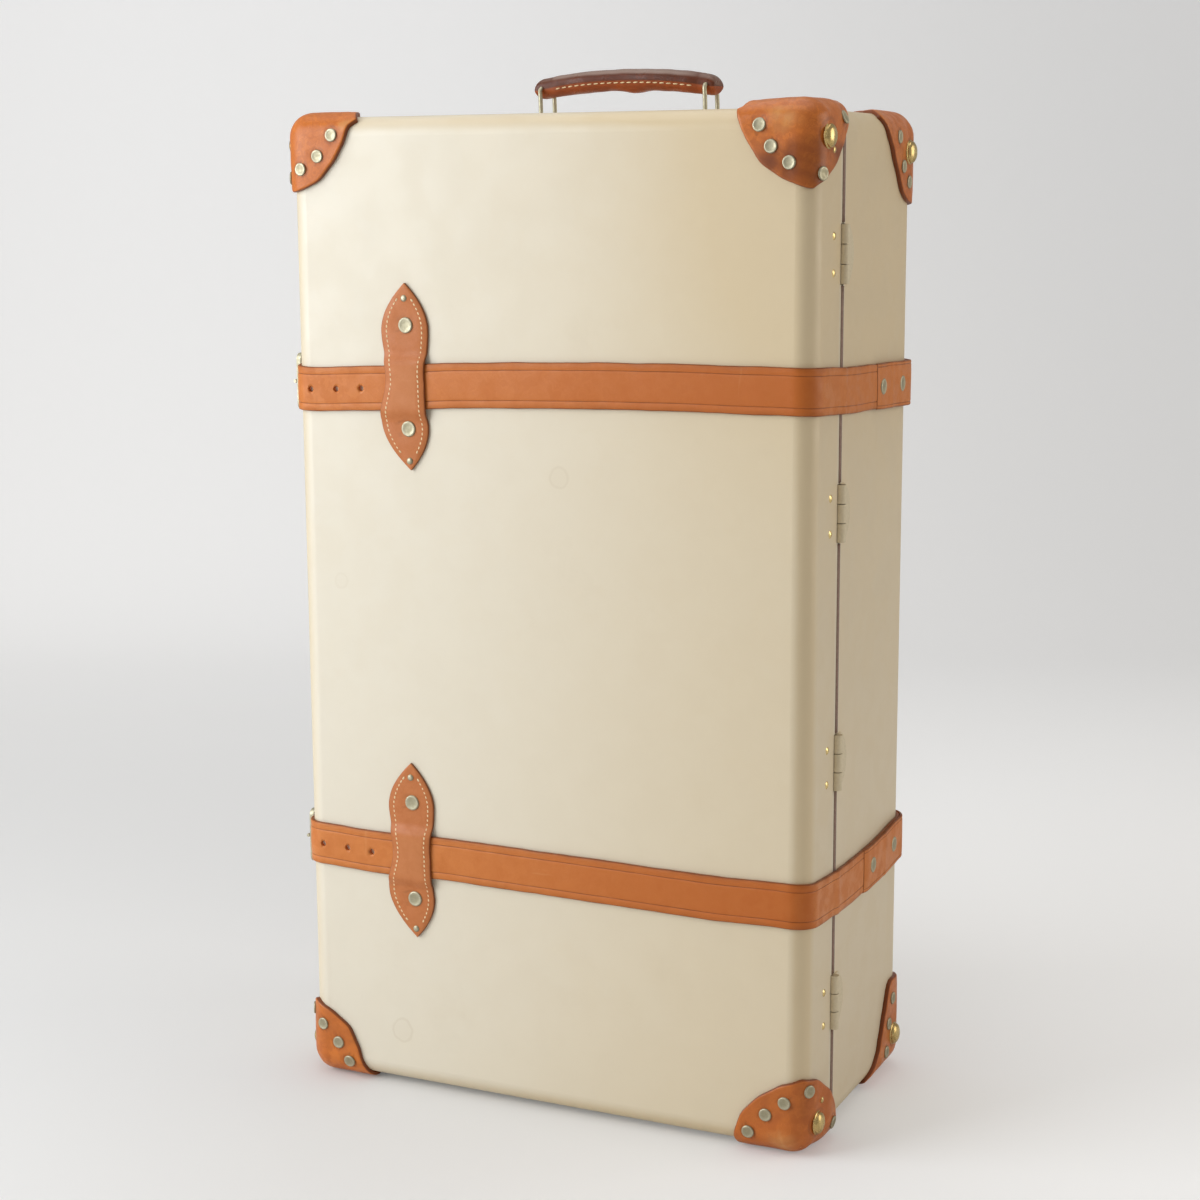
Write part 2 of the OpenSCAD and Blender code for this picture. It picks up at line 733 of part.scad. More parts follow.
module handle_loops() {
    color(nickel) {
        loop_legs(wall + clench_t + clench_tip, bar_h);
        for (s = [-1, 1]) translate([s * loop_span / 2, 0, bar_h]) {
            rotate([90, 0, 0]) cylinder(d = wire_d, h = loop_w, center = true);
            for (t = [-1, 1]) translate([0, t * loop_w / 2, 0]) sphere(d = wire_d);
        }
    }
}

// The grip: a padded arc between two ends that wrap the bars.
module handle_grip() {
    half = loop_span / 2;
    arc_r = (half * half + grip_rise * grip_rise) / (2 * grip_rise);
    turn = asin(half / arc_r);
    end_w = loop_w - wire_d - 1;
    color(tab_brown) difference() {
        union() {
            translate([0, 0, bar_h + grip_rise - arc_r]) rotate([90, 0, 0]) rotate([0, 0, 90 - turn])
                rotate_extrude(angle = 2 * turn) translate([arc_r, 0])
                    round_rect(-grip_t / 2, grip_t / 2, -grip_w / 2, grip_w / 2, grip_t / 2 - 0.5);
            for (s = [-1, 1]) translate([s * half, 0, bar_h]) rotate([90, 0, 0])
                cylinder(r = grip_end_r, h = end_w, center = true);
        }
        for (s = [-1, 1]) translate([s * half, 0, bar_h]) rotate([90, 0, 0])
            cylinder(d = wire_d + 2 * grip_gap, h = 2 * grip_w, center = true);
        // The padding is cut in at both ends, so that it clears the wire.
        for (s = [-1, 1]) for (t = [-1, 1])
            translate([s * (half + 3) - 14, t * (grip_w / 2 + end_w / 2) - grip_w / 2, bar_h - 20])
                cube([28, grip_w, 40]);
    }
}

module end_handle_grip() end_handle_place() handle_grip();
module side_handle_grip() side_handle_place() handle_grip();
module end_handle_loops() end_handle_place() handle_loops();
module side_handle_loops() side_handle_place() handle_loops();

// The plates inside the wall over which the loops' ends are riveted.
module clench_pair() {
    for (s = [-1, 1]) translate([s * loop_span / 2, 0, -wall - clench_t]) difference() {
        linear_extrude(clench_t) round_rect(-7, 7, -loop_w / 2 - 7, loop_w / 2 + 7, 4);
        for (t = [-1, 1]) translate([0, t * loop_w / 2, -1]) cylinder(d = wire_d, h = clench_t + 2);
    }
}

module clench_room() {
    for (s = [-1, 1]) translate([s * loop_span / 2 - 8, -loop_w / 2 - 8, -wall - 6])
        cube([16, loop_w + 16, 7]);
}

module clench_plates() {
    color(nickel) {
        end_handle_place() clench_pair();
        side_handle_place() clench_pair();
    }
}

// Knuckle lengths of a hinge: the lid's knuckle is in the middle, the base has one at each end.
knuckle = (hinge_l - 2 * knuckle_gap) / 3;

module barrel(z0, bore) {
    translate([0, 0, z0]) difference() {
        cylinder(d = barrel_d, h = knuckle);
        translate([0, 0, -1]) cylinder(d = bore, h = knuckle + 2);
    }
}

// The base leaf: a D-shaped plate on the outside, with the two outer knuckles.
module hinge_base_leaves() {
    color(nickel) for (z = z_hinge) translate([x_axis, y_seam, z - hinge_l / 2]) {
        difference() {
            union() {
                for (k = [0, 2 * (knuckle + knuckle_gap)]) {
                    barrel(k, pin_d);
                    translate([-axis_out, pin_d / 2 + 0.6, k]) cube([leaf_t, barrel_d / 2 + 1.4, knuckle]);
                }
                translate([-axis_out, 0, hinge_l / 2]) rotate([90, 0, 90]) linear_extrude(leaf_t)
                    intersection() {
                        translate([barrel_d / 2 + barrel_clear, -hinge_l / 2]) square([leaf_w, hinge_l]);
                        translate([leaf_w - hinge_l / 2, 0]) circle(d = hinge_l + 8);
                    }
            }
        }
        for (s = [-1, 1]) translate([-axis_out + leaf_t, barrel_d / 2 + 6, hinge_l / 2 + s * 10])
            rotate([0, 90, 0]) dome(5, 1.2);
    }
}

// The lid leaf: the middle knuckle and a plate that passes through the seam and lies inside the lid.
module hinge_lid_leaves() {
    neck = axis_out + wall + leaf_t;
    color(nickel) for (z = z_hinge) translate([x_axis, y_seam, z - hinge_l / 2]) {
        barrel(knuckle + knuckle_gap, pin_d + 2 * pin_clear);
        translate([-neck, -leaf_t / 2, knuckle + knuckle_gap]) cube([neck - pin_d / 2 - 0.5, leaf_t, knuckle]);
        translate([-neck, -lid_leaf_w, knuckle + knuckle_gap]) cube([leaf_t, lid_leaf_w, knuckle]);
        translate([-neck, -lid_leaf_w, 2]) cube([leaf_t, lid_leaf_w - seam_gap - 4, hinge_l - 4]);
    }
}

// Brass heads outside the lid, where the lid leaf is riveted through the board.
module hinge_lid_rivets() {
    color(old_brass) for (z = z_hinge) for (s = [-1, 1])
        translate([x_side, y_seam - 19, z + s * 13]) rotate([0, 90, 0]) dome(6, 1.2);
}

module hinge_pins() {
    color(nickel) for (z = z_hinge) translate([x_axis, y_seam, z - hinge_l / 2])
        cylinder(d = pin_d, h = hinge_l);
}

// A buckle's frame turns on its heel bar, and its far bar lies over the strap.
module buckle(z) {
    half = buckle_in / 2;
    outer = half + buckle_arm;
    color(nickel) on_lock(z) {
        translate([heel_x, 0, heel_q]) rotate([90, 0, 0]) cylinder(d = heel_d, h = 2 * outer - 1, center = true);
        translate([0, 0, frame_q]) linear_extrude(buckle_t) difference() {
            round_rect(far_x - buckle_arm / 2, heel_x + heel_d / 2, -outer, outer, 5);
            translate([far_x + buckle_arm / 2, -half]) square([buckle_l + heel_d, 2 * half]);
        }
    }
}

// A prong turns on the same bar and rests on the far bar.
module prong(z) {
    ring_w = 5;
    rest = atan((prong_q - heel_q) / (buckle_l - buckle_arm / 2));
    color(nickel) on_lock(z) difference() {
        union() {
            translate([heel_x, 0, heel_q]) rotate([90, 0, 0])
                cylinder(r = prong_ring_r, h = ring_w, center = true);
            translate([heel_x, 0, heel_q]) rotate([0, rest, 0]) rotate([0, -90, 0])
                cylinder(d = prong_d, h = prong_l);
        }
        translate([heel_x, 0, heel_q]) rotate([90, 0, 0])
            cylinder(d = heel_d + 2 * bar_clear, h = ring_w + 2, center = true);
    }
}

// The lock case: a slot open to the seam takes the hasp's staple, and a channel guides the bolt.
module lock_case(z) {
    c = slide_clear;
    arm_end = lock_from_seam + lock_l - 5;
    color(nickel) on_lock(z) difference() {
        linear_extrude(lock_t)
            round_rect(lock_from_seam, lock_from_seam + lock_l, -lock_w / 2, lock_w / 2, 3);
        // The staple's slot.
        translate([lock_from_seam - 1, -2.6, 0.6]) cube([staple_x + 5.5 - lock_from_seam, 5.2, lock_t]);
        // The bolt's channel across the slot, and the arm's channel towards the button.
        translate([staple_x - bolt / 2 - c, -6, bolt_q - c]) cube([bolt + 2 * c, 6 + arm_y + arm_w + c, 3.4 + 2 * c]);
        translate([staple_x, arm_y - slide_travel - c, bolt_q - c])
            cube([arm_end - staple_x + c, arm_w + slide_travel + 2 * c, 3.4 + 2 * c]);
        translate([arm_end - arm_w - c, arm_y - slide_travel - c, bolt_q])
            cube([arm_w + 2 * c, arm_w + slide_travel + 2 * c, lock_t]);
    }
}

// The sliding bolt with its button.
module lock_slide(z) {
    arm_end = lock_from_seam + lock_l - 5;
    color(old_brass) on_lock(z) {
        translate([staple_x - bolt / 2, bolt_y, bolt_q]) cube([bolt, arm_y + arm_w - bolt_y, 3.4]);
        translate([staple_x, arm_y, bolt_q]) cube([arm_end - staple_x, arm_w, 3.4]);
        translate([arm_end - arm_w, arm_y, bolt_q]) cube([arm_w, arm_w, lock_t + 0.6 - bolt_q]);
        translate([arm_end - arm_w / 2, arm_y + arm_w / 2, lock_t + slide_clear]) cylinder(d = 7.4, h = 2.4);
    }
}

// The hasp's plate on the lid, with two ears that hold the pin.
module hasp_plates() {
    k = hasp_knuckle_d;
    color(nickel) for (z = z_lock) on_lock(z) difference() {
        union() {
            linear_extrude(hasp_t)
                round_rect(-hasp_pin_at - hasp_plate_l, -hasp_pin_at + k / 2, -hasp_plate_w / 2, hasp_plate_w / 2, 3);
            for (s = [-1, 1]) translate([-hasp_pin_at, s * hasp_ear_at, 0]) {
                translate([-k / 2, -hasp_ear / 2, 0]) cube([k, hasp_ear, hasp_pin_q]);
                translate([0, 0, hasp_pin_q]) rotate([90, 0, 0]) cylinder(d = k, h = hasp_ear, center = true);
            }
        }
        translate([-hasp_pin_at, 0, hasp_pin_q]) rotate([90, 0, 0])
            cylinder(d = hasp_pin_d, h = 40, center = true);
    }
}

module hasp_pins() {
    color(nickel) for (z = z_lock) on_lock(z) translate([-hasp_pin_at, 0, hasp_pin_q])
        rotate([90, 0, 0]) cylinder(d = hasp_pin_d, h = 2 * hasp_ear_at + hasp_ear, center = true);
}

// The hasp: a knuckle, a plate over the seam and a staple that enters the lock case.
module hasp(z) {
    k = hasp_knuckle_d;
    top_q = lock_t + lay_gap;
    color(nickel) on_lock(z) difference() {
        union() {
            translate([-hasp_pin_at, 0, hasp_pin_q]) rotate([90, 0, 0])
                cylinder(d = k, h = hasp_knuckle_l, center = true);
            translate([-hasp_pin_at, -hasp_knuckle_l / 2, top_q]) cube([4, hasp_knuckle_l, hasp_t]);
            translate([0, 0, top_q]) linear_extrude(hasp_t)
                round_rect(-hasp_pin_at + k / 2 + 0.8, hasp_end, -hasp_w / 2, hasp_w / 2, 3);
            for (s = [-1, 1]) translate([staple_x + s * (staple_in + staple_wire) / 2 - staple_wire / 2, -1.5, 1.2])
                cube([staple_wire, 3, top_q - 1.1]);
            translate([staple_x - staple_in / 2 - staple_wire, -1.5, 1.2])
                cube([staple_in + 2 * staple_wire, 3, 1.2]);
        }
        translate([-hasp_pin_at, 0, hasp_pin_q]) rotate([90, 0, 0])
            cylinder(d = hasp_pin_d + 0.1, h = 12, center = true);
    }
}

// The wheels sit in pressed housings in the lower rear edge.
module wheel_room(s, more = 0) {
    translate([s * wheel_x, wheel_y, wheel_z]) rotate([0, 90, 0])
        cylinder(r = housing_r + housing_t + more, h = housing_w + 2 * housing_t + 2 * more, center = true);
}

module wheel_housing(s) {
    color(nickel) difference() {
        intersection() { wheel_room(s); case_block(0); }
        translate([s * wheel_x, wheel_y, wheel_z]) rotate([0, 90, 0]) {
            cylinder(r = housing_r, h = housing_w, center = true);
            cylinder(d = axle_d, h = housing_w + 4 * housing_t, center = true);
        }
    }
}

module wheel_axles() {
    color(nickel) for (s = [-1, 1]) translate([s * wheel_x, wheel_y, wheel_z]) rotate([0, 90, 0])
        cylinder(d = axle_d, h = housing_w + 2 * housing_t, center = true);
}

// A wheel with a crowned tread and a hub that stands out at both sides.
module wheel(s) {
    w = wheel_w / 2;
    color([0.16, 0.15, 0.14]) translate([s * wheel_x, wheel_y, wheel_z]) rotate([0, 90, 0])
        rotate_extrude() difference() {
            union() {
                translate([0, -w - 1.5]) square([8, 2 * w + 3]);
                translate([0, -w + 2]) square([wheel_r - 3, 2 * w - 4]);
                round_rect(wheel_r - 8, wheel_r, -w, w, 3);
            }
            translate([-1, -w - 3]) square([axle_d / 2 + axle_clear + 1, 2 * w + 6]);
        }
}

module strap_upper_front() strap_front(z_strap[0]);
module strap_lower_front() strap_front(z_strap[1]);
module strap_upper_flex() strap_flex(z_strap[0]);
module strap_lower_flex() strap_flex(z_strap[1]);
module strap_upper_back() strap_back(z_strap[0]);
module strap_lower_back() strap_back(z_strap[1]);
module strap_upper_tongue() strap_tongue(z_strap[0]);
module strap_lower_tongue() strap_tongue(z_strap[1]);
module lock_case_upper() lock_case(z_lock[0]);
module lock_case_lower() lock_case(z_lock[1]);
module lock_slide_upper() lock_slide(z_lock[0]);
module lock_slide_lower() lock_slide(z_lock[1]);
module hasp_upper() hasp(z_lock[0]);
module hasp_lower() hasp(z_lock[1]);
module buckle_upper() buckle(z_strap[0]);
module buckle_lower() buckle(z_strap[1]);
module prong_upper() prong(z_strap[0]);
module prong_lower() prong(z_strap[1]);
module wheel_housing_left() wheel_housing(-1);
module wheel_housing_right() wheel_housing(1);
module wheel_left() wheel(-1);
module wheel_right() wheel(1);

base_shell();
base_lip();
base_lining();
base_corner_hinge_top();
base_corner_hinge_bottom();
base_corner_lock_top();
base_corner_lock_bottom();
base_corner_rivets();
base_studs();
strap_upper_back();
strap_lower_back();
back_tab_upper();
back_tab_lower();
strap_upper_heads();
strap_lower_heads();
strap_keepers();
end_handle_grip();
end_handle_loops();
side_handle_grip();
side_handle_loops();
clench_plates();
hinge_base_leaves();
hinge_pins();
lock_case_upper();
lock_case_lower();
wheel_housing_left();
wheel_housing_right();
wheel_axles();
lid_shell();
lid_lining();
lid_corner_hinge_top();
lid_corner_hinge_bottom();
lid_corner_lock_top();
lid_corner_lock_bottom();
lid_corner_rivets();
lid_studs();
strap_upper_front();
strap_lower_front();
strap_upper_flex();
strap_lower_flex();
strap_upper_tongue();
strap_lower_tongue();
tab_upper();
tab_lower();
tab_rivets();
hinge_lid_leaves();
hinge_lid_rivets();
hasp_plates();
hasp_pins();
hasp_upper();
hasp_lower();
lock_slide_upper();
lock_slide_lower();
buckle_upper();
buckle_lower();
prong_upper();
prong_lower();
wheel_left();
wheel_right();
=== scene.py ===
"""The looks of an old hard travelling case with leather corners, two straps and an end handle.

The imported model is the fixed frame. This script dresses its nodes and replaces those whose leather, stitching or
wire needs a finer form. Lengths are in millimetres until a mesh is made, and Blender's are in metres.
"""

import logging
import math
from dataclasses import dataclass
from enum import Enum

import bmesh
import bpy
import numpy as np
from mathutils import Matrix, Vector


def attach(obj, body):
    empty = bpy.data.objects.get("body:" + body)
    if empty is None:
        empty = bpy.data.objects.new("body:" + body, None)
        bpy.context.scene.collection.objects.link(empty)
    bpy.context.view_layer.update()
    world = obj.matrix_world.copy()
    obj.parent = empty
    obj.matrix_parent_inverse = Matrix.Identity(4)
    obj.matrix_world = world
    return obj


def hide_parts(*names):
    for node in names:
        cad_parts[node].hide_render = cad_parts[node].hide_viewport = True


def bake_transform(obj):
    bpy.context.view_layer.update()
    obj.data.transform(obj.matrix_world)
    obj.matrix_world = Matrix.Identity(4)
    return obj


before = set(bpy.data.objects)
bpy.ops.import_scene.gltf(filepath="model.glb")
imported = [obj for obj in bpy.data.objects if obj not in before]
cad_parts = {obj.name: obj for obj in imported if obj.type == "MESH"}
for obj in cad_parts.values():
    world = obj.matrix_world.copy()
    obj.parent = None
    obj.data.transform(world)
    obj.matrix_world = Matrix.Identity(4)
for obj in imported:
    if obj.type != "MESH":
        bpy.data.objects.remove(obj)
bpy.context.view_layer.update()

MM = 0.001
log = logging.getLogger("travelling_case")
Array = np.ndarray
Node, Socket, Tree = bpy.types.Node, bpy.types.NodeSocket, bpy.types.NodeTree
Piece, Material = bpy.types.Object, bpy.types.Material


class Body(Enum):
    """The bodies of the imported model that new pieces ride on."""

    BASE = "base"
    LID = "lid"


@dataclass(frozen=True)
class CaseSizes:
    """Sizes of the case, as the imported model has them, in millimetres."""

    width: float = 425.0
    depth: float = 221.0
    height: float = 760.0
    lid_depth: float = 56.0
    seam_gap: float = 3.0
    edge_radius: float = 15.0
    leather: float = 4.0
    strap_width: float = 34.0
    strap_thickness: float = 3.0
    strap_gap: float = 0.3
    strap_cut: float = 3.4
    strap_heights: tuple[float, float] = (563.0, 195.0)
    pin_out: float = 1.5
    tab_x: float = -110.0
    tab_rise: tuple[float, float] = (7.5, 4.5)

    @property
    def half_width(self) -> float:
        """Distance of the hinge side from the middle."""
        return self.width / 2

    @property
    def front(self) -> float:
        """Y of the lid face."""
        return -self.depth / 2

    @property
    def back(self) -> float:
        """Y of the back."""
        return self.depth / 2

    @property
    def low(self) -> float:
        """Z of the lower end's board."""
        return self.leather

    @property
    def high(self) -> float:
        """Z of the upper end's board."""
        return self.leather + self.height

    @property
    def seam(self) -> float:
        """Y of the middle of the seam."""
        return self.front + self.lid_depth + self.seam_gap / 2


CASE = CaseSizes()


def ease(t: Array) -> Array:
    """Smooth step: 3t squared minus 2t cubed, with t held between 0 and 1.

    Args:
        t: Any values.

    Returns:
        Values from 0 to 1.
    """
    t = np.clip(t, 0.0, 1.0)
    return t * t * (3.0 - 2.0 * t)


def wander(x: Array, seed: float, scale: float) -> Array:
    """A soft irregular line: the sum of four sines whose lengths and phases come from the seed.

    Args:
        x: Positions along the line, in millimetres.
        seed: Chooses the phases.
        scale: Length of the longest wave.

    Returns:
        Values between about -1 and 1.
    """
    total = np.zeros_like(np.asarray(x, float))
    for k, weight in enumerate((0.5, 0.28, 0.16, 0.1)):
        wave = scale / (1.0 + 0.87 * k + 0.31 * math.sin(seed * (k + 1.3)))
        total = total + weight * np.sin(2 * math.pi * np.asarray(x, float) / wave + seed * (2.1 + 1.7 * k))
    return total


def dapple(p: Array, seed: float, scale: float) -> Array:
    """Soft hollows and swellings in space: the product of wandering lines along three slanted directions.

    Args:
        p: Points, with the last axis of length 3, in millimetres.
        seed: Chooses the pattern.
        scale: Length of the longest wave.

    Returns:
        Values between about -1 and 1.
    """
    a = p[..., 0] + 0.4 * p[..., 1] - 0.2 * p[..., 2]
    b = p[..., 1] - 0.3 * p[..., 2] + 0.25 * p[..., 0]
    c = p[..., 2] + 0.35 * p[..., 0] - 0.3 * p[..., 1]
    return (wander(a, seed, scale) + wander(b, seed + 1.9, scale) + wander(c, seed + 4.3, scale)) / 1.8


class MeshParts:
    """Collects surfaces and makes one mesh of them."""

    def __init__(self, name: str) -> None:
        """Starts an empty collection for the piece of that name."""
        self.name = name
        self.points: list[Array] = []
        self.faces: list[Array] = []
        self.coords: list[Array] = []
        self.masks: list[Array] = []
        self.count = 0
        self.turned_points = False

    def grid(
        self,
        points: Array,
        closed_v: bool = False,
        coords: Array | None = None,
        mask: Array | None = None,
        flip: bool = False,
    ) -> None:
        """Adds a surface given as rows and columns of points, joined by four-cornered faces.

        Args:
            points: Array of shape (rows, columns, 3), in millimetres.
            closed_v: Joins the last column to the first.
            coords: Pattern coordinates of shape (rows, columns, 2), in metres.
            mask: A value for every point, kept as the attribute "wear".
            flip: Turns the faces round.
        """
        rows, columns = points.shape[:2]
        index = np.arange(rows * columns).reshape(rows, columns) + self.count
        if closed_v:
            index = np.hstack([index, index[:, :1]])
        quads = np.stack([index[:-1, :-1], index[1:, :-1], index[1:, 1:], index[:-1, 1:]], axis=-1).reshape(-1, 4)
        if flip:
            quads = quads[:, ::-1]
        self.points.append(points.reshape(-1, 3))
        self.faces.append(quads)
        size = rows * columns
        self.coords.append(np.zeros((size, 2)) if coords is None else coords.reshape(-1, 2))
        self.masks.append(np.zeros(size) if mask is None else np.asarray(mask, float).reshape(-1))
        self.count += size

    def turned(self, profile: Array, centre: Array, axis: Array, sides: int = 28) -> None:
        """Adds a turned shape: the profile's radius and height carried round the axis.

        Args:
            profile: Radius and height of each ring, in millimetres, from the rim to the middle.
            centre: The foot of the axis.
            axis: Unit vector that the height follows.
            sides: Number of points round.
        """
        first = np.cross(axis, [0.0, 0.0, 1.0] if abs(axis[2]) < 0.9 else [1.0, 0.0, 0.0])
        first = first / np.linalg.norm(first)
        second = np.cross(axis, first)
        turn = np.linspace(0, 2 * math.pi, sides, endpoint=False)
        ring = np.cos(turn)[:, None] * first + np.sin(turn)[:, None] * second
        points = centre + profile[:, None, :1] * ring[None] + profile[:, None, 1:] * axis
        # Each point's share of the full height goes into the wear attribute; the metal finish darkens low parts with
        # it, as tarnish and painted shade.
        self.grid(points, closed_v=True, mask=np.repeat(profile[:, 1:] / max(profile[:, 1].max(), 1e-6), sides, 1))
        self.turned_points = True

    def tube(self, path: Array, radius: float, sides: int = 14) -> None:
        """Adds a round tube along a path, with rounded ends closed to a point.

        The ring at each point lies in the plane square to the path, and its first direction is carried along
        without twist.

        Args:
            path: Points along the middle, in millimetres.
            radius: Radius of the tube.
            sides: Number of points round.
        """
        lead = np.gradient(path, axis=0)
        lead = lead / np.linalg.norm(lead, axis=1, keepdims=True)
        start = np.cross(lead[0], [0.31, 0.52, 0.79])
        firsts = [start / np.linalg.norm(start)]
        for step in lead[1:]:
            last = firsts[-1] - step * np.dot(firsts[-1], step)
            firsts.append(last / np.linalg.norm(last))
        first = np.array(firsts)
        second = np.cross(lead, first)
        turn = np.linspace(0, 2 * math.pi, sides, endpoint=False)
        ring = np.cos(turn)[None, :, None] * first[:, None] + np.sin(turn)[None, :, None] * second[:, None]
        body = path[:, None] + radius * ring
        close = np.array([1e-3, 0.55, 0.88])[:, None, None]
        push = np.array([1.0, 0.8, 0.42])[:, None, None] * radius
        head = path[0] + close * radius * ring[0][None] - push * lead[0]
        tail = path[-1] + close[::-1] * radius * ring[-1][None] + push[::-1] * lead[-1]
        self.grid(np.concatenate([head, body, tail]), closed_v=True, flip=True)

    def build(self, join: float = 0.0, smooth: bool = True) -> Piece:
        """Makes the mesh and its object.

        Args:
            join: Points nearer than this become one, in metres; at 0 the mesh stays as it is.
            smooth: Shades the faces smooth.

        Returns:
            The new object, at the origin, linked to the scene.
        """
        points = (np.concatenate(self.points) * MM).astype(np.float32)
        quads = np.concatenate(self.faces).astype(np.int32)
        mesh = bpy.data.meshes.new(self.name)
        mesh.from_pydata(points, [], quads)
        layer = mesh.uv_layers.new(name="lay")
        layer.data.foreach_set("uv", np.concatenate(self.coords)[quads.reshape(-1)].astype(np.float32).reshape(-1))
        wear = mesh.attributes.new("wear", "FLOAT", "POINT")
        wear.data.foreach_set("value", np.concatenate(self.masks).astype(np.float32))
        if self.turned_points:
            marks = mesh.attributes.new("turned", "FLOAT", "POINT")
            marks.data.foreach_set("value", np.ones(len(points), np.float32))
        if smooth:
            mesh.polygons.foreach_set("use_smooth", np.ones(len(mesh.polygons), bool))
        mesh.validate()
        mesh.update()
        piece = bpy.data.objects.new(self.name, mesh)
        bpy.context.scene.collection.objects.link(piece)
        if join:
            weld(piece, join)
        return piece


def weld(piece: Piece, distance: float) -> None:
    """Merges points that lie on each other, such as those of a closed pole, and drops faces without area.

    Args:
        piece: The object whose mesh is cleaned.
        distance: Points nearer than this become one, in metres.
    """
    work = bmesh.new()
    work.from_mesh(piece.data)
    bmesh.ops.remove_doubles(work, verts=work.verts, dist=distance)
    bmesh.ops.dissolve_degenerate(work, edges=work.edges, dist=distance / 4)
    bmesh.ops.recalc_face_normals(work, faces=work.faces)
    work.to_mesh(piece.data)
    work.free()


def dress(piece: Piece, material: Material) -> None:
    """Gives a piece or a node one material, in every slot that it has.

    Args:
        piece: The object.
        material: Its finish.
    """
    if not piece.data.materials:
        piece.data.materials.append(material)
    for index in range(len(piece.data.materials)):
        piece.data.materials[index] = material


def seat(piece: Piece, body: Body, slot: str, material: Material, *nodes: str) -> None:
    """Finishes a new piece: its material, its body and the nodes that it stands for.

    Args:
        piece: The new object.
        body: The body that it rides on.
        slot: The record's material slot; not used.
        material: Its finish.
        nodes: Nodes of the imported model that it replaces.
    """
    dress(piece, material)
    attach(piece, body.value)
    if nodes:
        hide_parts(*nodes)
    log.info("%s: %d faces", piece.name, len(piece.data.polygons))


class Outline:
    """The round-cornered path round the closed case, seen from above.

    Distance 0 is the middle of the lid face, and it grows towards the hinge side. Each stretch is a straight
    line or a quarter circle, and a point grown outward moves along the path's normal.
    """

    def __init__(self, case: CaseSizes) -> None:
        """Lays out the stretches: start distance, length, start point and start direction of each."""
        r = case.edge_radius
        flat_x = case.half_width - r
        flat_y = case.depth / 2 - r
        quarter = math.pi / 2 * r
        self.radius = r
        self.lengths = np.array(
            [flat_x, quarter, 2 * flat_y, quarter, 2 * flat_x, quarter, 2 * flat_y, quarter, flat_x]
        )
        self.starts = np.concatenate([[0.0], np.cumsum(self.lengths)[:-1]])
        self.total = float(self.lengths.sum())
        self.is_arc = np.array([False, True, False, True, False, True, False, True, False])
        self.turns = np.radians([0, 0, 90, 90, 180, 180, 270, 270, 360])
        corner = np.array([[flat_x, -flat_y], [flat_x, flat_y], [-flat_x, flat_y], [-flat_x, -flat_y]])
        normal = np.array([[0, -1], [1, 0], [0, 1], [-1, 0]])
        self.origins = np.array([
            [0.0, case.front], corner[0], corner[0] + r * normal[1], corner[1], corner[1] + r * normal[2],
            corner[2], corner[2] + r * normal[3], corner[3], corner[3] + r * normal[0],
        ])

    def at(self, distance: Array, grow: Array | float) -> tuple[Array, Array]:
        """Finds points on the path.

        Args:
            distance: Distances along the path on the board's surface, negative towards the lock side.
            grow: How far outside the board each point lies.

        Returns:
            The points and their outward normals, each with x and y in the last axis.
        """
        s = np.mod(np.asarray(distance, float), self.total)
        k = np.clip(np.searchsorted(self.starts, s, side="right") - 1, 0, len(self.starts) - 1)
        along = s - self.starts[k]
        heading = self.turns[k] + np.where(self.is_arc[k], along / self.radius, 0.0)
        normal = np.stack([np.sin(heading), -np.cos(heading)], axis=-1)
        lead = np.stack([np.cos(heading), np.sin(heading)], axis=-1)
        flat = self.origins[k] + lead * along[..., None]
        arc = self.origins[k] + normal * self.radius
        point = np.where(self.is_arc[k][..., None], arc, flat)
        return point + normal * np.asarray(grow, float)[..., None], normal

    def distance_of(self, side: str, place: float) -> float:
        """The distance at which the path passes a place on one flat side.

        Args:
            side: "hinge", "back" or "lock".
            place: Place in depth on the hinge side or the lock side, or across on the back.

        Returns:
            The distance, which is negative on the lock side.
        """
        if side == "hinge":
            return float(self.starts[2] + place - self.origins[2][1])
        if side == "back":
            return float(self.starts[4] + self.origins[4][0] - place)
        return float(self.starts[6] + self.origins[6][1] - place - self.total)


PATH = Outline(CASE)


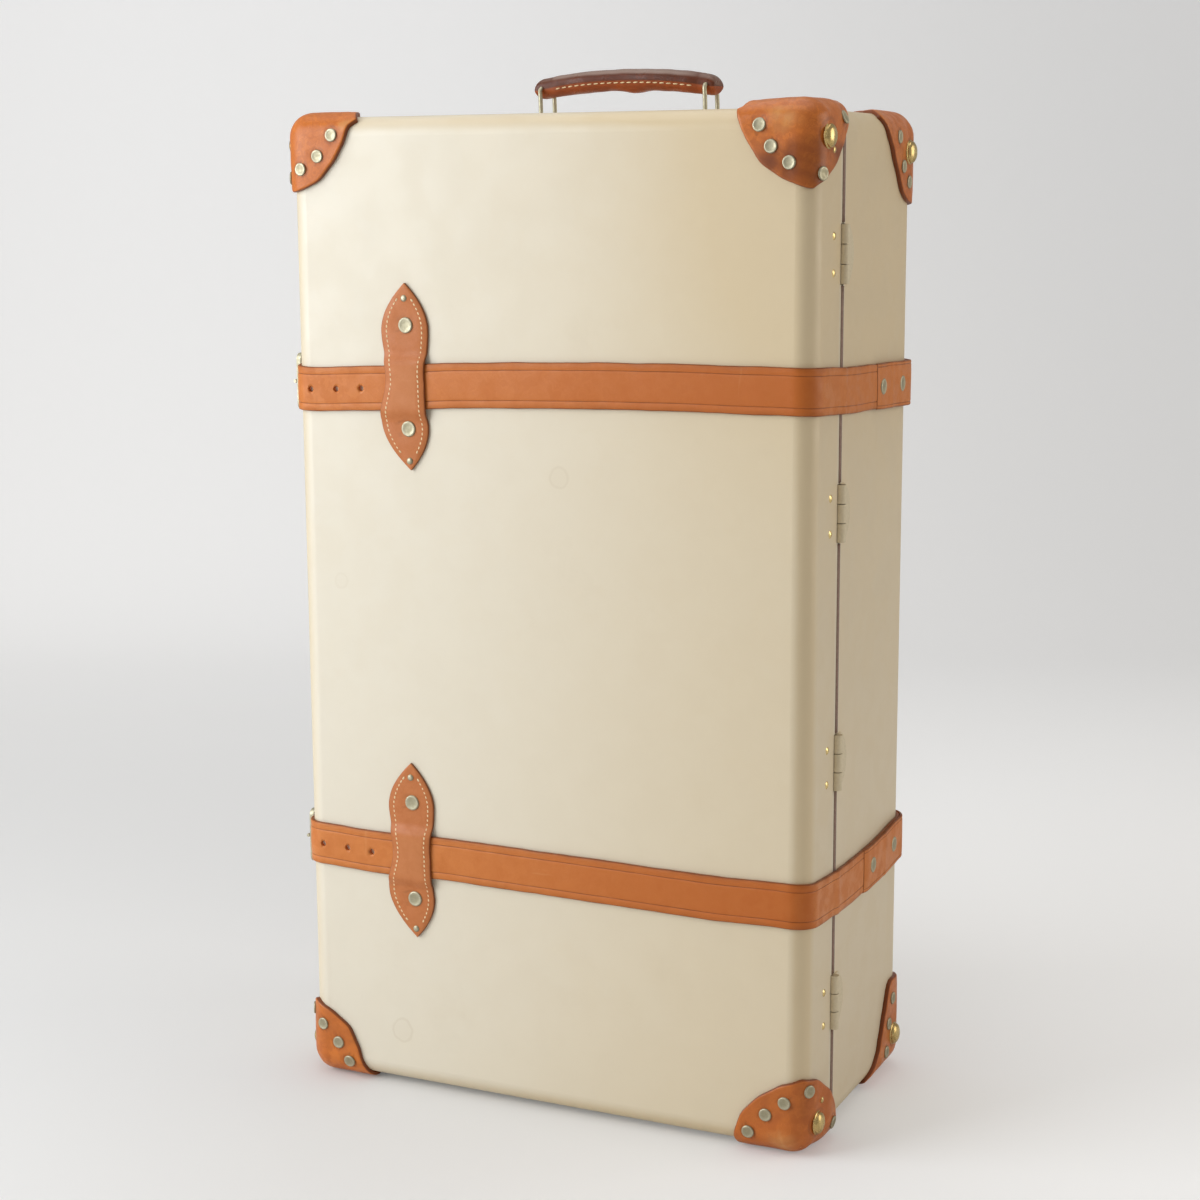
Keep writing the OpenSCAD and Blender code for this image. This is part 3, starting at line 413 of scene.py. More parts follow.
class Graph:
    """A short way to write node trees: each call adds a node, sets its values and links its inputs."""

    def __init__(self, tree: Tree) -> None:
        """Starts on a node tree, which is emptied."""
        self.tree = tree
        tree.nodes.clear()

    def add(self, kind: str, values: dict | None = None, **settings: object) -> Node:
        """Adds a node.

        Args:
            kind: Blender's type name without the leading "ShaderNode".
            values: Input names or numbers, each with a plain value or an output socket to link.
            settings: Attributes of the node.

        Returns:
            The new node.
        """
        prefix = "" if kind.startswith("Node") else "ShaderNode"
        node = self.tree.nodes.new(prefix + kind)
        for name, value in settings.items():
            setattr(node, name, value)
        self.fill(node, values or {})
        return node

    def fill(self, node: Node, values: dict) -> None:
        """Gives inputs of a node a plain value or a link.

        Args:
            node: The node.
            values: Values or output sockets, by the input's name or number.
        """
        for key, value in values.items():
            if isinstance(value, Socket):
                self.tree.links.new(value, node.inputs[key])
            else:
                node.inputs[key].default_value = value

    def math(self, operation: str, a: object, b: object = 0.0, clamp: bool = False) -> Socket:
        """Adds an operation of one or two values and returns its result."""
        return self.add("Math", {0: a, 1: b}, operation=operation, use_clamp=clamp).outputs[0]

    def times(self, a: object, b: object, clamp: bool = False) -> Socket:
        """Multiplies two values."""
        return self.math("MULTIPLY", a, b, clamp)

    def plus(self, a: object, b: object, clamp: bool = False) -> Socket:
        """Adds two values."""
        return self.math("ADD", a, b, clamp)

    def minus(self, a: object, b: object) -> Socket:
        """Takes the second value from the first."""
        return self.math("SUBTRACT", a, b)

    def value_of(self, attribute: str) -> Socket:
        """Reads one of the mesh's own values."""
        return self.add("Attribute", attribute_name=attribute).outputs["Fac"]

    def bump(self, height: Socket, distance: float, strength: float) -> Socket:
        """Turns a height into a bent normal."""
        return self.add("Bump", {"Height": height, "Distance": distance, "Strength": strength}).outputs[0]

    def ramp(self, value: object, low: float, high: float, to_low: float = 0.0, to_high: float = 1.0) -> Socket:
        """Maps a value's stretch from low to high onto another stretch, smoothly, and returns the result.

        Args:
            value: What is mapped.
            low: Start of its stretch.
            high: End of its stretch.
            to_low: What the start becomes.
            to_high: What the end becomes.

        Returns:
            The mapped value.
        """
        node = self.add(
            "MapRange",
            {"Value": value, "From Min": low, "From Max": high, "To Min": to_low, "To Max": to_high},
            interpolation_type="SMOOTHSTEP",
        )
        return node.outputs["Result"]

    def mix(self, factor: object, a: object, b: object) -> Socket:
        """Mixes two colours and returns the result.

        Args:
            factor: Share of the second colour.
            a: The first colour.
            b: The second colour.

        Returns:
            The mixed colour.
        """
        node = self.add("Mix", data_type="RGBA")
        for socket, value in ((node.inputs[0], factor), (node.inputs[6], a), (node.inputs[7], b)):
            if isinstance(value, Socket):
                self.tree.links.new(value, socket)
            elif isinstance(value, tuple):
                socket.default_value = (*value, 1.0) if len(value) == 3 else value
            else:
                socket.default_value = value
        return node.outputs[2]

    def noise(self, scale: object, detail: float = 3.0, rough: float = 0.5, place: object = None) -> Socket:
        """Adds a noise pattern on the given coordinates and returns its value.

        Args:
            scale: Repeats in a metre.
            detail: Number of finer layers.
            rough: Weight of the finer layers.
            place: Coordinates.

        Returns:
            The pattern's value.
        """
        values: dict = {"Scale": scale, "Detail": detail, "Roughness": rough}
        if place is not None:
            values["Vector"] = place
        return self.add("TexNoise", values).outputs["Fac"]


def group(
    name: str, inputs: dict[str, float | None], outputs: tuple[str, ...]
) -> tuple[Graph, dict[str, Socket], Node]:
    """Starts a shader node group with named sockets.

    Args:
        name: The group's name.
        inputs: Name and default of each number input; a default of None makes a vector input.
        outputs: Name of each number output.

    Returns:
        The graph, its given values by name and its output node.
    """
    tree = bpy.data.node_groups.new(name, "ShaderNodeTree")
    graph = Graph(tree)
    for key, default in inputs.items():
        kind = "NodeSocketVector" if default is None else "NodeSocketFloat"
        socket = tree.interface.new_socket(key, in_out="INPUT", socket_type=kind)
        if default is not None:
            socket.default_value = default
    for key in outputs:
        tree.interface.new_socket(key, in_out="OUTPUT", socket_type="NodeSocketFloat")
    source = graph.add("NodeGroupInput")
    return graph, {key: source.outputs[key] for key in inputs}, graph.add("NodeGroupOutput")


def make_clouds() -> Tree:
    """Blotches of two sizes, the larger ones bent by the smaller, as old dye and handling leave them."""
    g, given, sink = group("clouds", {"Place": None, "Size": 8.0, "Fine": 40.0}, ("Blotch", "Speck"))
    fine = g.add("TexNoise", {"Vector": given["Place"], "Scale": given["Fine"], "Detail": 5.0})
    colour = fine.outputs["Color"]
    shift = g.add("VectorMath", {0: colour, "Scale": 0.012}, operation="SCALE").outputs[0]
    bent = g.add("VectorMath", {0: given["Place"], 1: colour, 2: shift}, operation="MULTIPLY_ADD").outputs[0]
    broad = g.add("TexNoise", {"Vector": bent, "Scale": given["Size"], "Detail": 3.0, "Roughness": 0.55})
    blotch, speck = g.ramp(broad.outputs["Fac"], 0.36, 0.64), g.ramp(fine.outputs["Fac"], 0.35, 0.65)
    g.fill(sink, {"Blotch": blotch, "Speck": speck})
    return g.tree


def make_grain() -> Tree:
    """The grain of leather: small pebbles with fine pores between them, as a height."""
    g, given, sink = group("grain", {"Place": None, "Pebble": 900.0, "Pore": 2600.0}, ("Height", "Pores"))
    pebble = g.add("TexVoronoi", {"Vector": given["Place"], "Scale": given["Pebble"]}, feature="SMOOTH_F1")
    pits = g.ramp(g.noise(given["Pore"], place=given["Place"]), 0.40, 0.60)
    rise = g.times(g.minus(1.0, pebble.outputs["Distance"]), 0.6)
    g.fill(sink, {"Height": g.plus(rise, g.times(pits, 0.4)), "Pores": pits})
    return g.tree


def make_scuffs() -> Tree:
    """Thin, long, sparse scratches that run in two slanted directions, as a mask."""
    g, given, sink = group("scuffs", {"Place": None, "Count": 26.0, "Amount": 0.5}, ("Mask",))
    masks = []
    for turn, stretch in (((0.2, 0.5, 0.35), (1.0, 1.0, 0.10)), ((0.9, -0.3, -0.6), (0.12, 1.0, 1.0))):
        laid = g.add("Mapping", {"Vector": given["Place"], "Rotation": turn, "Scale": stretch}).outputs[0]
        masks.append(g.ramp(g.noise(given["Count"], 8.0, 0.72, laid), 0.63, 0.72))
    g.fill(sink, {"Mask": g.times(g.math("MAXIMUM", *masks), given["Amount"], clamp=True)})
    return g.tree


class Patterns:
    """The node groups that several materials share."""

    def __init__(self) -> None:
        """Builds each group once."""
        self.clouds = make_clouds()
        self.grain = make_grain()
        self.scuffs = make_scuffs()

    def use(self, graph: Graph, tree: Tree, values: dict) -> Node:
        """Places a group in a material with its own values."""
        return graph.add("Group", values, node_tree=tree)


PATTERNS = Patterns()
Colour = tuple[float, float, float]


def new_material(name: str) -> tuple[Material, Graph, Node, Socket]:
    """Starts a material.

    Args:
        name: Its name.

    Returns:
        The material, its graph, its Principled shader and the Object coordinates.
    """
    material = bpy.data.materials.new(name)
    material.use_nodes = True
    graph = Graph(material.node_tree)
    shader = graph.add("BsdfPrincipled")
    output = graph.add("OutputMaterial")
    graph.tree.links.new(shader.outputs[0], output.inputs[0])
    place = graph.add("TexCoord").outputs["Object"]
    return material, graph, shader, place


@dataclass(frozen=True)
class LeatherFinish:
    """A vegetable-tanned leather: its dye, how it darkened, where it wore pale and how it shines."""

    name: str
    dye: Colour
    dark: Colour
    worn: Colour
    blotch_size: float = 14.0
    dark_amount: float = 0.55
    worn_amount: float = 0.35
    rough: tuple[float, float] = (0.34, 0.52)
    grain_depth: float = 0.00012
    coat: float = 0.05
    gloss: float = 0.32
    hinge_side_shade: float = 0.0
    flange: Colour | None = None

    def make(self) -> Material:
        """Builds the material: dye, blotches, painted shade near the hinge side, darkened edges, pale scuffs and
        rubbing, pores and a thin wax coat.
        """
        material, g, shader, place = new_material(self.name)
        clouds = PATTERNS.use(g, PATTERNS.clouds, {"Place": place, "Size": self.blotch_size, "Fine": 90.0})
        grain = PATTERNS.use(g, PATTERNS.grain, {"Place": place})
        scuffs = PATTERNS.use(g, PATTERNS.scuffs, {"Place": place, "Count": 34.0, "Amount": self.worn_amount})
        wear = g.value_of("wear")
        tone = g.times(clouds.outputs["Blotch"], self.dark_amount)
        colour = g.mix(tone, self.dye, self.dark)
        # Painted shade: on the lid face the leather darkens towards the hinge side, where less of the lamp's light
        # falls.
        if self.hinge_side_shade:
            split = g.add("SeparateXYZ", {0: place})
            far = g.ramp(split.outputs["X"], -0.20, 0.20, 0.0, self.hinge_side_shade)
            front = g.ramp(split.outputs["Y"], (CASE.front + 3.0) * MM, (CASE.front + 16.0) * MM, 1.0, 0.0)
            colour = g.mix(g.times(far, front), colour, self.dark)
        if self.flange:
            lay = g.add("SeparateXYZ", {0: g.add("TexCoord").outputs["UV"]})
            colour = g.mix(g.ramp(lay.outputs["Y"], -0.20, -0.04, 1.0, 0.0), colour, self.flange)
        speck = g.times(clouds.outputs["Speck"], 0.22)
        colour = g.mix(speck, colour, self.dark)
        colour = g.mix(g.times(g.minus(1.0, grain.outputs["Pores"]), 0.14), colour, self.dark)
        colour = g.mix(scuffs.outputs["Mask"], colour, self.worn)
        # Negative wear paints the leather pale: rubbing, and on the grip's top also a painted sheen of the overhead
        # light.
        rubbed = g.ramp(g.times(wear, -1.0), 0.0, 0.8, 0.0, 0.85)
        colour = g.mix(rubbed, colour, self.worn)
        edge = g.ramp(wear, 0.05, 1.0, 0.0, 0.92)
        colour = g.mix(edge, colour, tuple(c * 0.42 for c in self.dark))
        g.fill(shader, {
            "Base Color": colour, "Roughness": g.ramp(clouds.outputs["Speck"], 0.0, 1.0, *self.rough),
            "Normal": g.bump(grain.outputs["Height"], self.grain_depth, 0.55),
            "Specular IOR Level": self.gloss, "Coat Weight": self.coat, "Coat Roughness": 0.32,
        })
        return material


@dataclass(frozen=True)
class FibreFinish:
    """Old cream vulcanised fibre: yellowed paper layers under a worn varnish."""

    name: str
    cream: Colour
    yellowed: Colour
    stain: Colour
    rings: tuple[tuple[float, float, float, float], ...] = ()
    hinge_side_yellow_and_shade: float = 0.66
    edge_yellow: float = 0.85
    upper_age: float = 0.62
    blotch_age: float = 0.10

    def make(self) -> Material:
        """Builds the material: cream, soft yellowing mixed with painted shade, painted seam highlights, drip rings,
        fine laid fibres and handling marks.
        """
        material, g, shader, place = new_material(self.name)
        clouds = PATTERNS.use(g, PATTERNS.clouds, {"Place": place, "Size": 3.0, "Fine": 34.0})
        scuffs = PATTERNS.use(g, PATTERNS.scuffs, {"Place": place, "Count": 9.0, "Amount": 0.07})
        split = g.add("SeparateXYZ", {0: place})
        near = [
            g.ramp(g.math("ABSOLUTE", split.outputs[axis]), (reach - 15.0) * MM, reach * MM)
            for axis, reach in (("X", CASE.half_width), ("Y", CASE.back))
        ]
        middle = 0.5 * (CASE.low + CASE.high)
        from_middle = g.math("ABSOLUTE", g.minus(split.outputs["Z"], middle * MM))
        near.append(g.ramp(from_middle, (CASE.high - middle - 15.0) * MM, (CASE.high - middle) * MM))
        edges = [g.times(near[i], near[j]) for i, j in ((0, 1), (1, 2), (0, 2))]
        rounded = g.math("MAXIMUM", g.math("MAXIMUM", edges[0], edges[1]), edges[2])
        # Yellower towards the hinge side: partly real yellowing, partly painted shade, since the lamp lights the lock
        # side more.
        yellowing_and_shade = g.ramp(split.outputs["X"], -0.20, 0.235, 0.0, self.hinge_side_yellow_and_shade)
        # The rounded edges are mixed further towards the yellowed colour.
        yellowing_and_shade = g.plus(yellowing_and_shade, g.times(rounded, self.edge_yellow))
        upper = g.times(g.ramp(split.outputs["Z"], 0.42, 0.76), g.ramp(split.outputs["X"], 0.0, 0.21))
        yellowing_and_shade = g.plus(yellowing_and_shade, g.times(upper, self.upper_age))
        yellowing_and_shade = g.plus(yellowing_and_shade, g.times(clouds.outputs["Blotch"], self.blotch_age), clamp=True)
        colour = g.mix(yellowing_and_shade, self.cream, self.yellowed)
        colour = g.mix(g.times(clouds.outputs["Speck"], 0.035), colour, self.stain)
        wisps = g.ramp(g.noise(16.0, 8.0, 0.66, place), 0.58, 0.80, 0.0, 0.08)
        colour = g.mix(wisps, colour, self.stain)
        # Painted highlight: within about 6 mm of the seam the board turns back towards cream, where the rims' edges
        # catch the light.
        lip = g.math("ABSOLUTE", g.minus(split.outputs["Y"], CASE.seam * MM))
        colour = g.mix(g.ramp(lip, 0.0042, 0.0064, 0.5, 0.0), colour, self.cream)
        for x, z, radius, strength in self.rings:
            spread = g.add("VectorMath", {0: place, 1: (x * MM, CASE.front * MM, z * MM)}, operation="DISTANCE")
            wobble = g.times(g.minus(g.noise(60.0, 2.0, 0.5, place), 0.5), 0.006)
            inside = g.plus(spread.outputs["Value"], wobble)
            off = g.math("ABSOLUTE", g.minus(inside, radius * MM))
            colour = g.mix(g.ramp(off, 0.0003, 0.0016, strength, 0.0), colour, self.stain)
            colour = g.mix(g.ramp(inside, radius * MM * 0.7, radius * MM, strength * 0.3, 0.0), colour, self.stain)
        colour = g.mix(scuffs.outputs["Mask"], colour, self.stain)
        laid = g.add("Mapping", {"Vector": place, "Scale": (1.0, 1.0, 0.35)})
        fibres = g.noise(760.0, 4.0, 0.6, laid.outputs[0])
        peel = g.noise(150.0, 2.0, 0.5, place)
        g.fill(shader, {
            "Base Color": colour, "Coat Weight": 0.30, "Coat Roughness": 0.42,
            "Roughness": g.ramp(g.plus(fibres, clouds.outputs["Speck"]), 0.5, 1.4, 0.36, 0.50),
            "Normal": g.bump(g.plus(g.times(fibres, 0.25), g.times(peel, 0.75)), 0.00016, 0.45),
        })
        return material


@dataclass(frozen=True)
class MetalFinish:
    """Plated or solid metal that has dulled with age."""

    name: str
    metal: Colour
    tarnish: Colour
    tarnish_amount: float = 0.45
    rough: tuple[float, float] = (0.20, 0.42)

    def make(self) -> Material:
        """Builds the material: metal, brown tarnish in blotches, tarnish and painted shade low on turned heads, and
        fine rubbing in the roughness.
        """
        material, g, shader, place = new_material(self.name)
        clouds = PATTERNS.use(g, PATTERNS.clouds, {"Place": place, "Size": 120.0, "Fine": 420.0})
        tone = g.times(clouds.outputs["Blotch"], self.tarnish_amount)
        colour = g.mix(tone, self.metal, self.tarnish)
        colour = g.mix(g.times(clouds.outputs["Speck"], 0.25 * self.tarnish_amount), colour, self.tarnish)
        # Turned heads darken towards their foot and dish: tarnish in the hollows, and painted shade on the low sides.
        low = g.ramp(g.value_of("wear"), 0.70, 0.94, 0.62, 0.0)
        made = g.ramp(g.value_of("turned"), 0.2, 0.8)
        colour = g.mix(g.times(low, made), colour, self.tarnish)
        g.fill(shader, {
            "Base Color": colour, "Roughness": g.ramp(clouds.outputs["Speck"], 0.0, 1.0, *self.rough),
            "Normal": g.bump(g.noise(2400.0, 4.0, 0.7, place), 0.00004, 0.35), "Metallic": 1.0,
        })
        return material


@dataclass(frozen=True)
class HingeFinish:
    """A hinge leaf painted over together with the board, whose turned barrel is old bronze."""

    name: str
    paint: Colour
    bronze: Colour
    grime_and_gap_shade: Colour
    barrel: float = 3.3
    first: float = 105.0
    pitch: float = 186.0
    knuckle: float = 8.7

    def make(self) -> Material:
        """Builds the material: bronze within the barrel's distance of the pin's middle line, else paint; painted light
        on the barrels.
        """
        material, g, shader, place = new_material(self.name)
        clouds = PATTERNS.use(g, PATTERNS.clouds, {"Place": place, "Size": 90.0, "Fine": 500.0})
        split = g.add("SeparateXYZ", {0: place})
        x = g.minus(split.outputs["X"], (CASE.half_width + CASE.pin_out) * MM)
        y = g.minus(split.outputs["Y"], CASE.seam * MM)
        away = g.math("SQRT", g.plus(g.times(x, x), g.times(y, y)))
        inside = g.ramp(away, self.barrel * MM, (self.barrel + 0.25) * MM, 1.0, 0.0)
        bronze = g.mix(g.times(clouds.outputs["Blotch"], 0.7), self.bronze, self.grime_and_gap_shade)
        paint = g.mix(g.times(clouds.outputs["Speck"], 0.08), self.paint, self.grime_and_gap_shade)
        # Painted highlight: the lower hinges' barrels are mixed towards the paint colour, as they catch more light.
        bronze = g.mix(g.ramp(split.outputs["Z"], 0.30, 0.56, 0.75, 0.0), bronze, self.paint)
        # Painted shade: a dark line at each knuckle's end stands for the shade in the gap between knuckles.
        half = self.pitch * MM / 2
        lift = g.minus(split.outputs["Z"], self.first * MM - half)
        middle = g.minus(g.math("FLOORED_MODULO", lift, self.pitch * MM), half)
        joint = g.math("ABSOLUTE", g.minus(g.math("ABSOLUTE", middle), self.knuckle * MM))
        bronze = g.mix(g.ramp(joint, 0.0006, 0.0020, 0.85, 0.0), bronze, self.grime_and_gap_shade)
        g.fill(shader, {
            "Base Color": g.mix(inside, paint, bronze), "Metallic": g.times(inside, 0.55),
            "Roughness": g.ramp(clouds.outputs["Speck"], 0.0, 1.0, 0.38, 0.56),
        })
        return material


@dataclass(frozen=True)
class PlainFinish:
    """Board, cloth, thread or rubber: one colour with fine variation and a small texture."""

    name: str
    colour: Colour
    shade: Colour
    texture: float = 900.0
    depth: float = 0.0001
    rough: float = 0.7
    woven: bool = False

    def make(self) -> Material:
        """Builds the material: two tones and either a plain weave of crossing waves or a fine noise."""
        material, g, shader, place = new_material(self.name)
        clouds = PATTERNS.use(g, PATTERNS.clouds, {"Place": place, "Size": 30.0, "Fine": 300.0})
        colour = g.mix(g.times(clouds.outputs["Speck"], 0.6), self.colour, self.shade)
        if self.woven:
            split = g.add("SeparateXYZ", {0: place})
            waves = []
            for a, b in (("X", "Z"), ("Z", "X"), ("Y", "Z")):
                run, cross = (
                    g.math("SINE", g.times(split.outputs[axis], self.texture * 2 * math.pi)) for axis in (a, b)
                )
                waves.append(g.times(run, cross))
            height = g.ramp(g.plus(g.plus(waves[0], waves[1]), waves[2]), -2.0, 2.0)
            colour = g.mix(g.times(height, 0.35), colour, self.shade)
        else:
            height = g.noise(self.texture, 4.0, 0.6, place)
        g.fill(shader, {"Base Color": colour, "Roughness": self.rough, "Normal": g.bump(height, self.depth, 0.6)})
        return material


class Finishes:
    """Every material of the case, made once."""

    def __init__(self) -> None:
        """Builds the materials."""
        self.fibre = FibreFinish(
            "cream_fibre", (0.83, 0.76, 0.62), (0.76, 0.61, 0.385), (0.52, 0.40, 0.24),
            rings=((15.0, 500.0, 8.0, 0.13), (-128.0, 49.0, 9.0, 0.16), (-175.0, 410.0, 5.0, 0.08)),
        ).make()
        self.strap = LeatherFinish(
            "strap_leather", (0.69, 0.232, 0.056), (0.52, 0.125, 0.014), (0.74, 0.36, 0.13),
            dark_amount=0.30, hinge_side_shade=0.75,
        ).make()
        self.tab = LeatherFinish(
            "tab_leather", (0.585, 0.198, 0.062), (0.48, 0.135, 0.030), (0.66, 0.27, 0.10), blotch_size=22.0,
            dark_amount=0.42,
        ).make()
        self.corner = LeatherFinish(
            "corner_leather", (0.70, 0.205, 0.032), (0.42, 0.090, 0.014), (0.72, 0.36, 0.12), blotch_size=20.0,
            dark_amount=0.42, worn_amount=0.5, rough=(0.28, 0.44), coat=0.09, gloss=0.34, grain_depth=0.00006,
        ).make()
        self.grip = LeatherFinish(
            "grip_leather", (0.155, 0.036, 0.012), (0.07, 0.020, 0.008), (0.33, 0.225, 0.18), blotch_size=30.0,
            dark_amount=0.6, worn_amount=0.5, rough=(0.26, 0.5), coat=0.05, gloss=0.3, flange=(0.40, 0.085, 0.018),
        ).make()
        self.nickel = MetalFinish("old_nickel", (0.60, 0.56, 0.41), (0.36, 0.32, 0.21), 0.4, (0.46, 0.62)).make()
        self.brass = MetalFinish("old_brass", (0.90, 0.70, 0.32), (0.50, 0.34, 0.12), 0.16, (0.20, 0.34)).make()
        self.hinge = HingeFinish("painted_hinge", (0.74, 0.63, 0.43), (0.27, 0.18, 0.09), (0.16, 0.10, 0.05)).make()
        self.band = PlainFinish("seam_band", (0.30, 0.19, 0.14), (0.20, 0.12, 0.09), rough=0.6).make()
        self.lip = PlainFinish("lip_board", (0.055, 0.030, 0.019), (0.03, 0.018, 0.012)).make()
        self.lining = PlainFinish(
            "lining_cloth", (0.50, 0.39, 0.25), (0.36, 0.27, 0.16),
            texture=420.0, depth=0.0002, rough=0.85, woven=True,
        ).make()
        self.thread = PlainFinish("thread", (0.92, 0.76, 0.46), (0.74, 0.56, 0.32), texture=3200.0, rough=0.75).make()
        self.rubber = PlainFinish("wheel_rubber", (0.035, 0.033, 0.031), (0.06, 0.056, 0.05), rough=0.6).make()


FINISH = Finishes()


@dataclass(frozen=True)
class PhotoView:
    """The photograph's camera, found from the case's silhouette and seam."""

    place: tuple[float, float, float] = (0.7378, -1.5880, 0.7058)
    lens: float = 67.3
    sensor: float = 36.0
    yaw: float = -0.437
    pitch: float = -0.179
    roll: float = -0.005

    def make(self) -> Piece:
        """Builds the camera: forward from yaw and pitch, the right and up directions turned by the roll."""
        forward = Vector((
            math.sin(self.yaw) * math.cos(self.pitch), math.cos(self.yaw) * math.cos(self.pitch), math.sin(self.pitch)
        ))
        right = Vector((math.cos(self.yaw), -math.sin(self.yaw), 0.0))
        up = right.cross(forward)
        across = right * math.cos(self.roll) + up * math.sin(self.roll)
        above = up * math.cos(self.roll) - right * math.sin(self.roll)
        data = bpy.data.cameras.new("photo_view")
        data.lens = self.lens
        data.sensor_width = self.sensor
        data.clip_start, data.clip_end = 0.01, 60.0
        camera = bpy.data.objects.new("photo_view", data)
        turned = Matrix((across, above, -forward)).transposed().to_4x4()
        camera.matrix_world = Matrix.Translation(Vector(self.place)) @ turned
        bpy.context.scene.collection.objects.link(camera)
        bpy.context.scene.camera = camera
        return camera


@dataclass(frozen=True)
class SoftLamp:
    """An area lamp: where it stands, what it faces, its size in metres and its power."""

    name: str
    place: tuple[float, float, float]
    target: tuple[float, float, float]
    size: tuple[float, float]
    power: float
    colour: Colour = (1.0, 1.0, 1.0)

    def make(self) -> Piece:
        """Builds the lamp, which looks along its own -Z at the target."""
        data = bpy.data.lights.new(self.name, "AREA")
        data.shape = "RECTANGLE"
        data.size, data.size_y = self.size
        data.energy = self.power
        data.color = self.colour
        lamp = bpy.data.objects.new(self.name, data)
        way = Vector(self.target) - Vector(self.place)
        lamp.rotation_euler = way.to_track_quat("-Z", "Y").to_euler()
        lamp.location = self.place
        bpy.context.scene.collection.objects.link(lamp)
        return lamp


@dataclass
class Studio:
    """Pale floor with a curved backdrop, soft lamps and an even world light."""

    floor_front: Colour = (0.72, 0.712, 0.70)
    floor_back: Colour = (0.765, 0.765, 0.77)
    world_strength: float = 0.36
    near_glow: tuple[float, float] = (0.095, 0.29)
    away: float = 0.437
    far_glow: tuple[float, float] = (0.42, 0.24)
    lamps: tuple[SoftLamp, ...] = (
        SoftLamp("window", (-1.22, -1.15, 1.0), (0.0, 0.0, 0.42), (1.3, 1.5), 25.5, (0.95, 0.99, 1.03)),
        SoftLamp("overhead", (-0.2, 0.1, 2.2), (0.0, 0.0, 0.4), (1.6, 1.6), 9.6),
        SoftLamp("side_fill", (1.9, 0.7, 0.9), (0.2, 0.0, 0.4), (1.2, 1.5), 10.2, (1.0, 0.95, 0.87)),
    )

    def floor(self) -> Piece:
        """Builds the floor: a sheet that is flat under the case and curves up behind it in a quarter circle."""
        radius, depth, half = 1.2, 1.6, 5.0
        turn = np.linspace(0.0, math.pi / 2, 25)
        run = np.concatenate([[-6.0, depth], depth + radius * np.sin(turn[1:]), [depth + radius]])
        rise = np.concatenate([[0.0, 0.0], radius * (1 - np.cos(turn[1:])), [5.0]])
        along = np.array([-math.sin(self.away), math.cos(self.away)])
        side = np.array([math.cos(self.away), math.sin(self.away)])
        flat = run[:, None, None] * along[None, None] + np.array([-half, half])[None, :, None] * side[None, None]
        points = np.concatenate([flat, np.repeat(rise[:, None, None], 2, 1)], axis=2)
        index = np.arange(len(run) * 2).reshape(-1, 2)
        quads = np.stack([index[:-1, 0], index[:-1, 1], index[1:, 1], index[1:, 0]], axis=1)
        mesh = bpy.data.meshes.new("studio_floor")
        mesh.from_pydata(points.reshape(-1, 3).tolist(), [], quads.tolist())
        mesh.shade_smooth()
        floor = bpy.data.objects.new("studio_floor", mesh)
        bpy.context.scene.collection.objects.link(floor)
        material, g, shader, place = new_material("studio_paper")
        split = g.add("SeparateXYZ", {0: place})
        back = g.ramp(split.outputs["Z"], 0.0, 1.6)
        speck = g.noise(420.0, 3.0, 0.5, place)
        colour = g.mix(back, self.floor_front, self.floor_back)
        colour = g.mix(g.times(speck, 0.04), colour, (0.5, 0.5, 0.5))
        across = g.add("VectorMath", {0: place, 1: (*side, 0.0)}, operation="DOT_PRODUCT").outputs["Value"]
        behind = g.add("VectorMath", {0: place, 1: (*along, 0.0)}, operation="DOT_PRODUCT").outputs["Value"]
        near_glow = g.ramp(across, -0.25, 0.45, *self.near_glow)
        far_glow = g.ramp(across, -1.2, 1.2, *self.far_glow)
        share = g.ramp(behind, 0.2, 2.2)
        glow = g.plus(g.times(far_glow, share), g.times(near_glow, g.minus(1.0, share)))
        seen = g.times(glow, g.add("LightPath").outputs["Is Camera Ray"])
        white = (1.0, 1.0, 1.0, 1.0)
        g.fill(shader, {
            "Base Color": colour, "Emission Strength": seen, "Emission Color": white, "Roughness": 0.85,
        })
        floor.data.materials.append(material)
        return floor

    def world(self) -> None:
        """Gives the world an even, slightly warm light, which also fills reflections."""
        world = bpy.data.worlds.new("studio_light")
        world.use_nodes = True
        background = world.node_tree.nodes["Background"]
        background.inputs["Color"].default_value = (1.0, 0.985, 0.965, 1.0)
        background.inputs["Strength"].default_value = self.world_strength
        bpy.context.scene.world = world

    def make(self) -> None:
        """Sets up the whole studio and the plain view transform."""
        self.floor()
        self.world()
        for lamp in self.lamps:
            lamp.make()
        bpy.context.scene.view_settings.view_transform = "Standard"
        log.info("studio: floor and %d lamps", len(self.lamps))


class PackedNodes:
    """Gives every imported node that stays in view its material."""

    def __init__(self) -> None:
        """Pairs materials with the beginnings of node names; the first that fits is used."""
        self.rules: tuple[tuple[Material, tuple[str, ...]], ...] = (
            (FINISH.nickel, ("base_corner_rivets", "lid_corner_rivets", "strap_upper_heads", "strap_lower_heads",
                             "tab_rivets", "wheel_housing", "wheel_axles", "buckle_", "prong_")),
            (FINISH.brass, ("base_studs", "lid_studs", "hinge_lid_rivets", "lock_", "hasp_")),
            (FINISH.fibre, ("base_shell", "lid_shell")),
            (FINISH.lip, ("base_lip",)),
            (FINISH.lining, ("base_lining", "lid_lining")),
            (FINISH.corner, ("base_corner", "lid_corner")),
            (FINISH.strap, ("strap_",)),
            (FINISH.tab, ("tab_", "back_tab")),
            (FINISH.grip, ("end_handle_grip", "side_handle_grip")),
            (FINISH.hinge, ("hinge_",)),
            (FINISH.rubber, ("wheel_",)),
            (FINISH.nickel, ("",)),
        )

    def dress(self) -> None:
        """Puts a material into every slot of each node's object."""
        for name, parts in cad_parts.items():
            material = next(m for m, starts in self.rules if name.startswith(starts))
            for piece in parts if isinstance(parts, (list, tuple)) else [parts]:
                dress(piece, material)
        log.info("packed nodes dressed: %d", len(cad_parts))


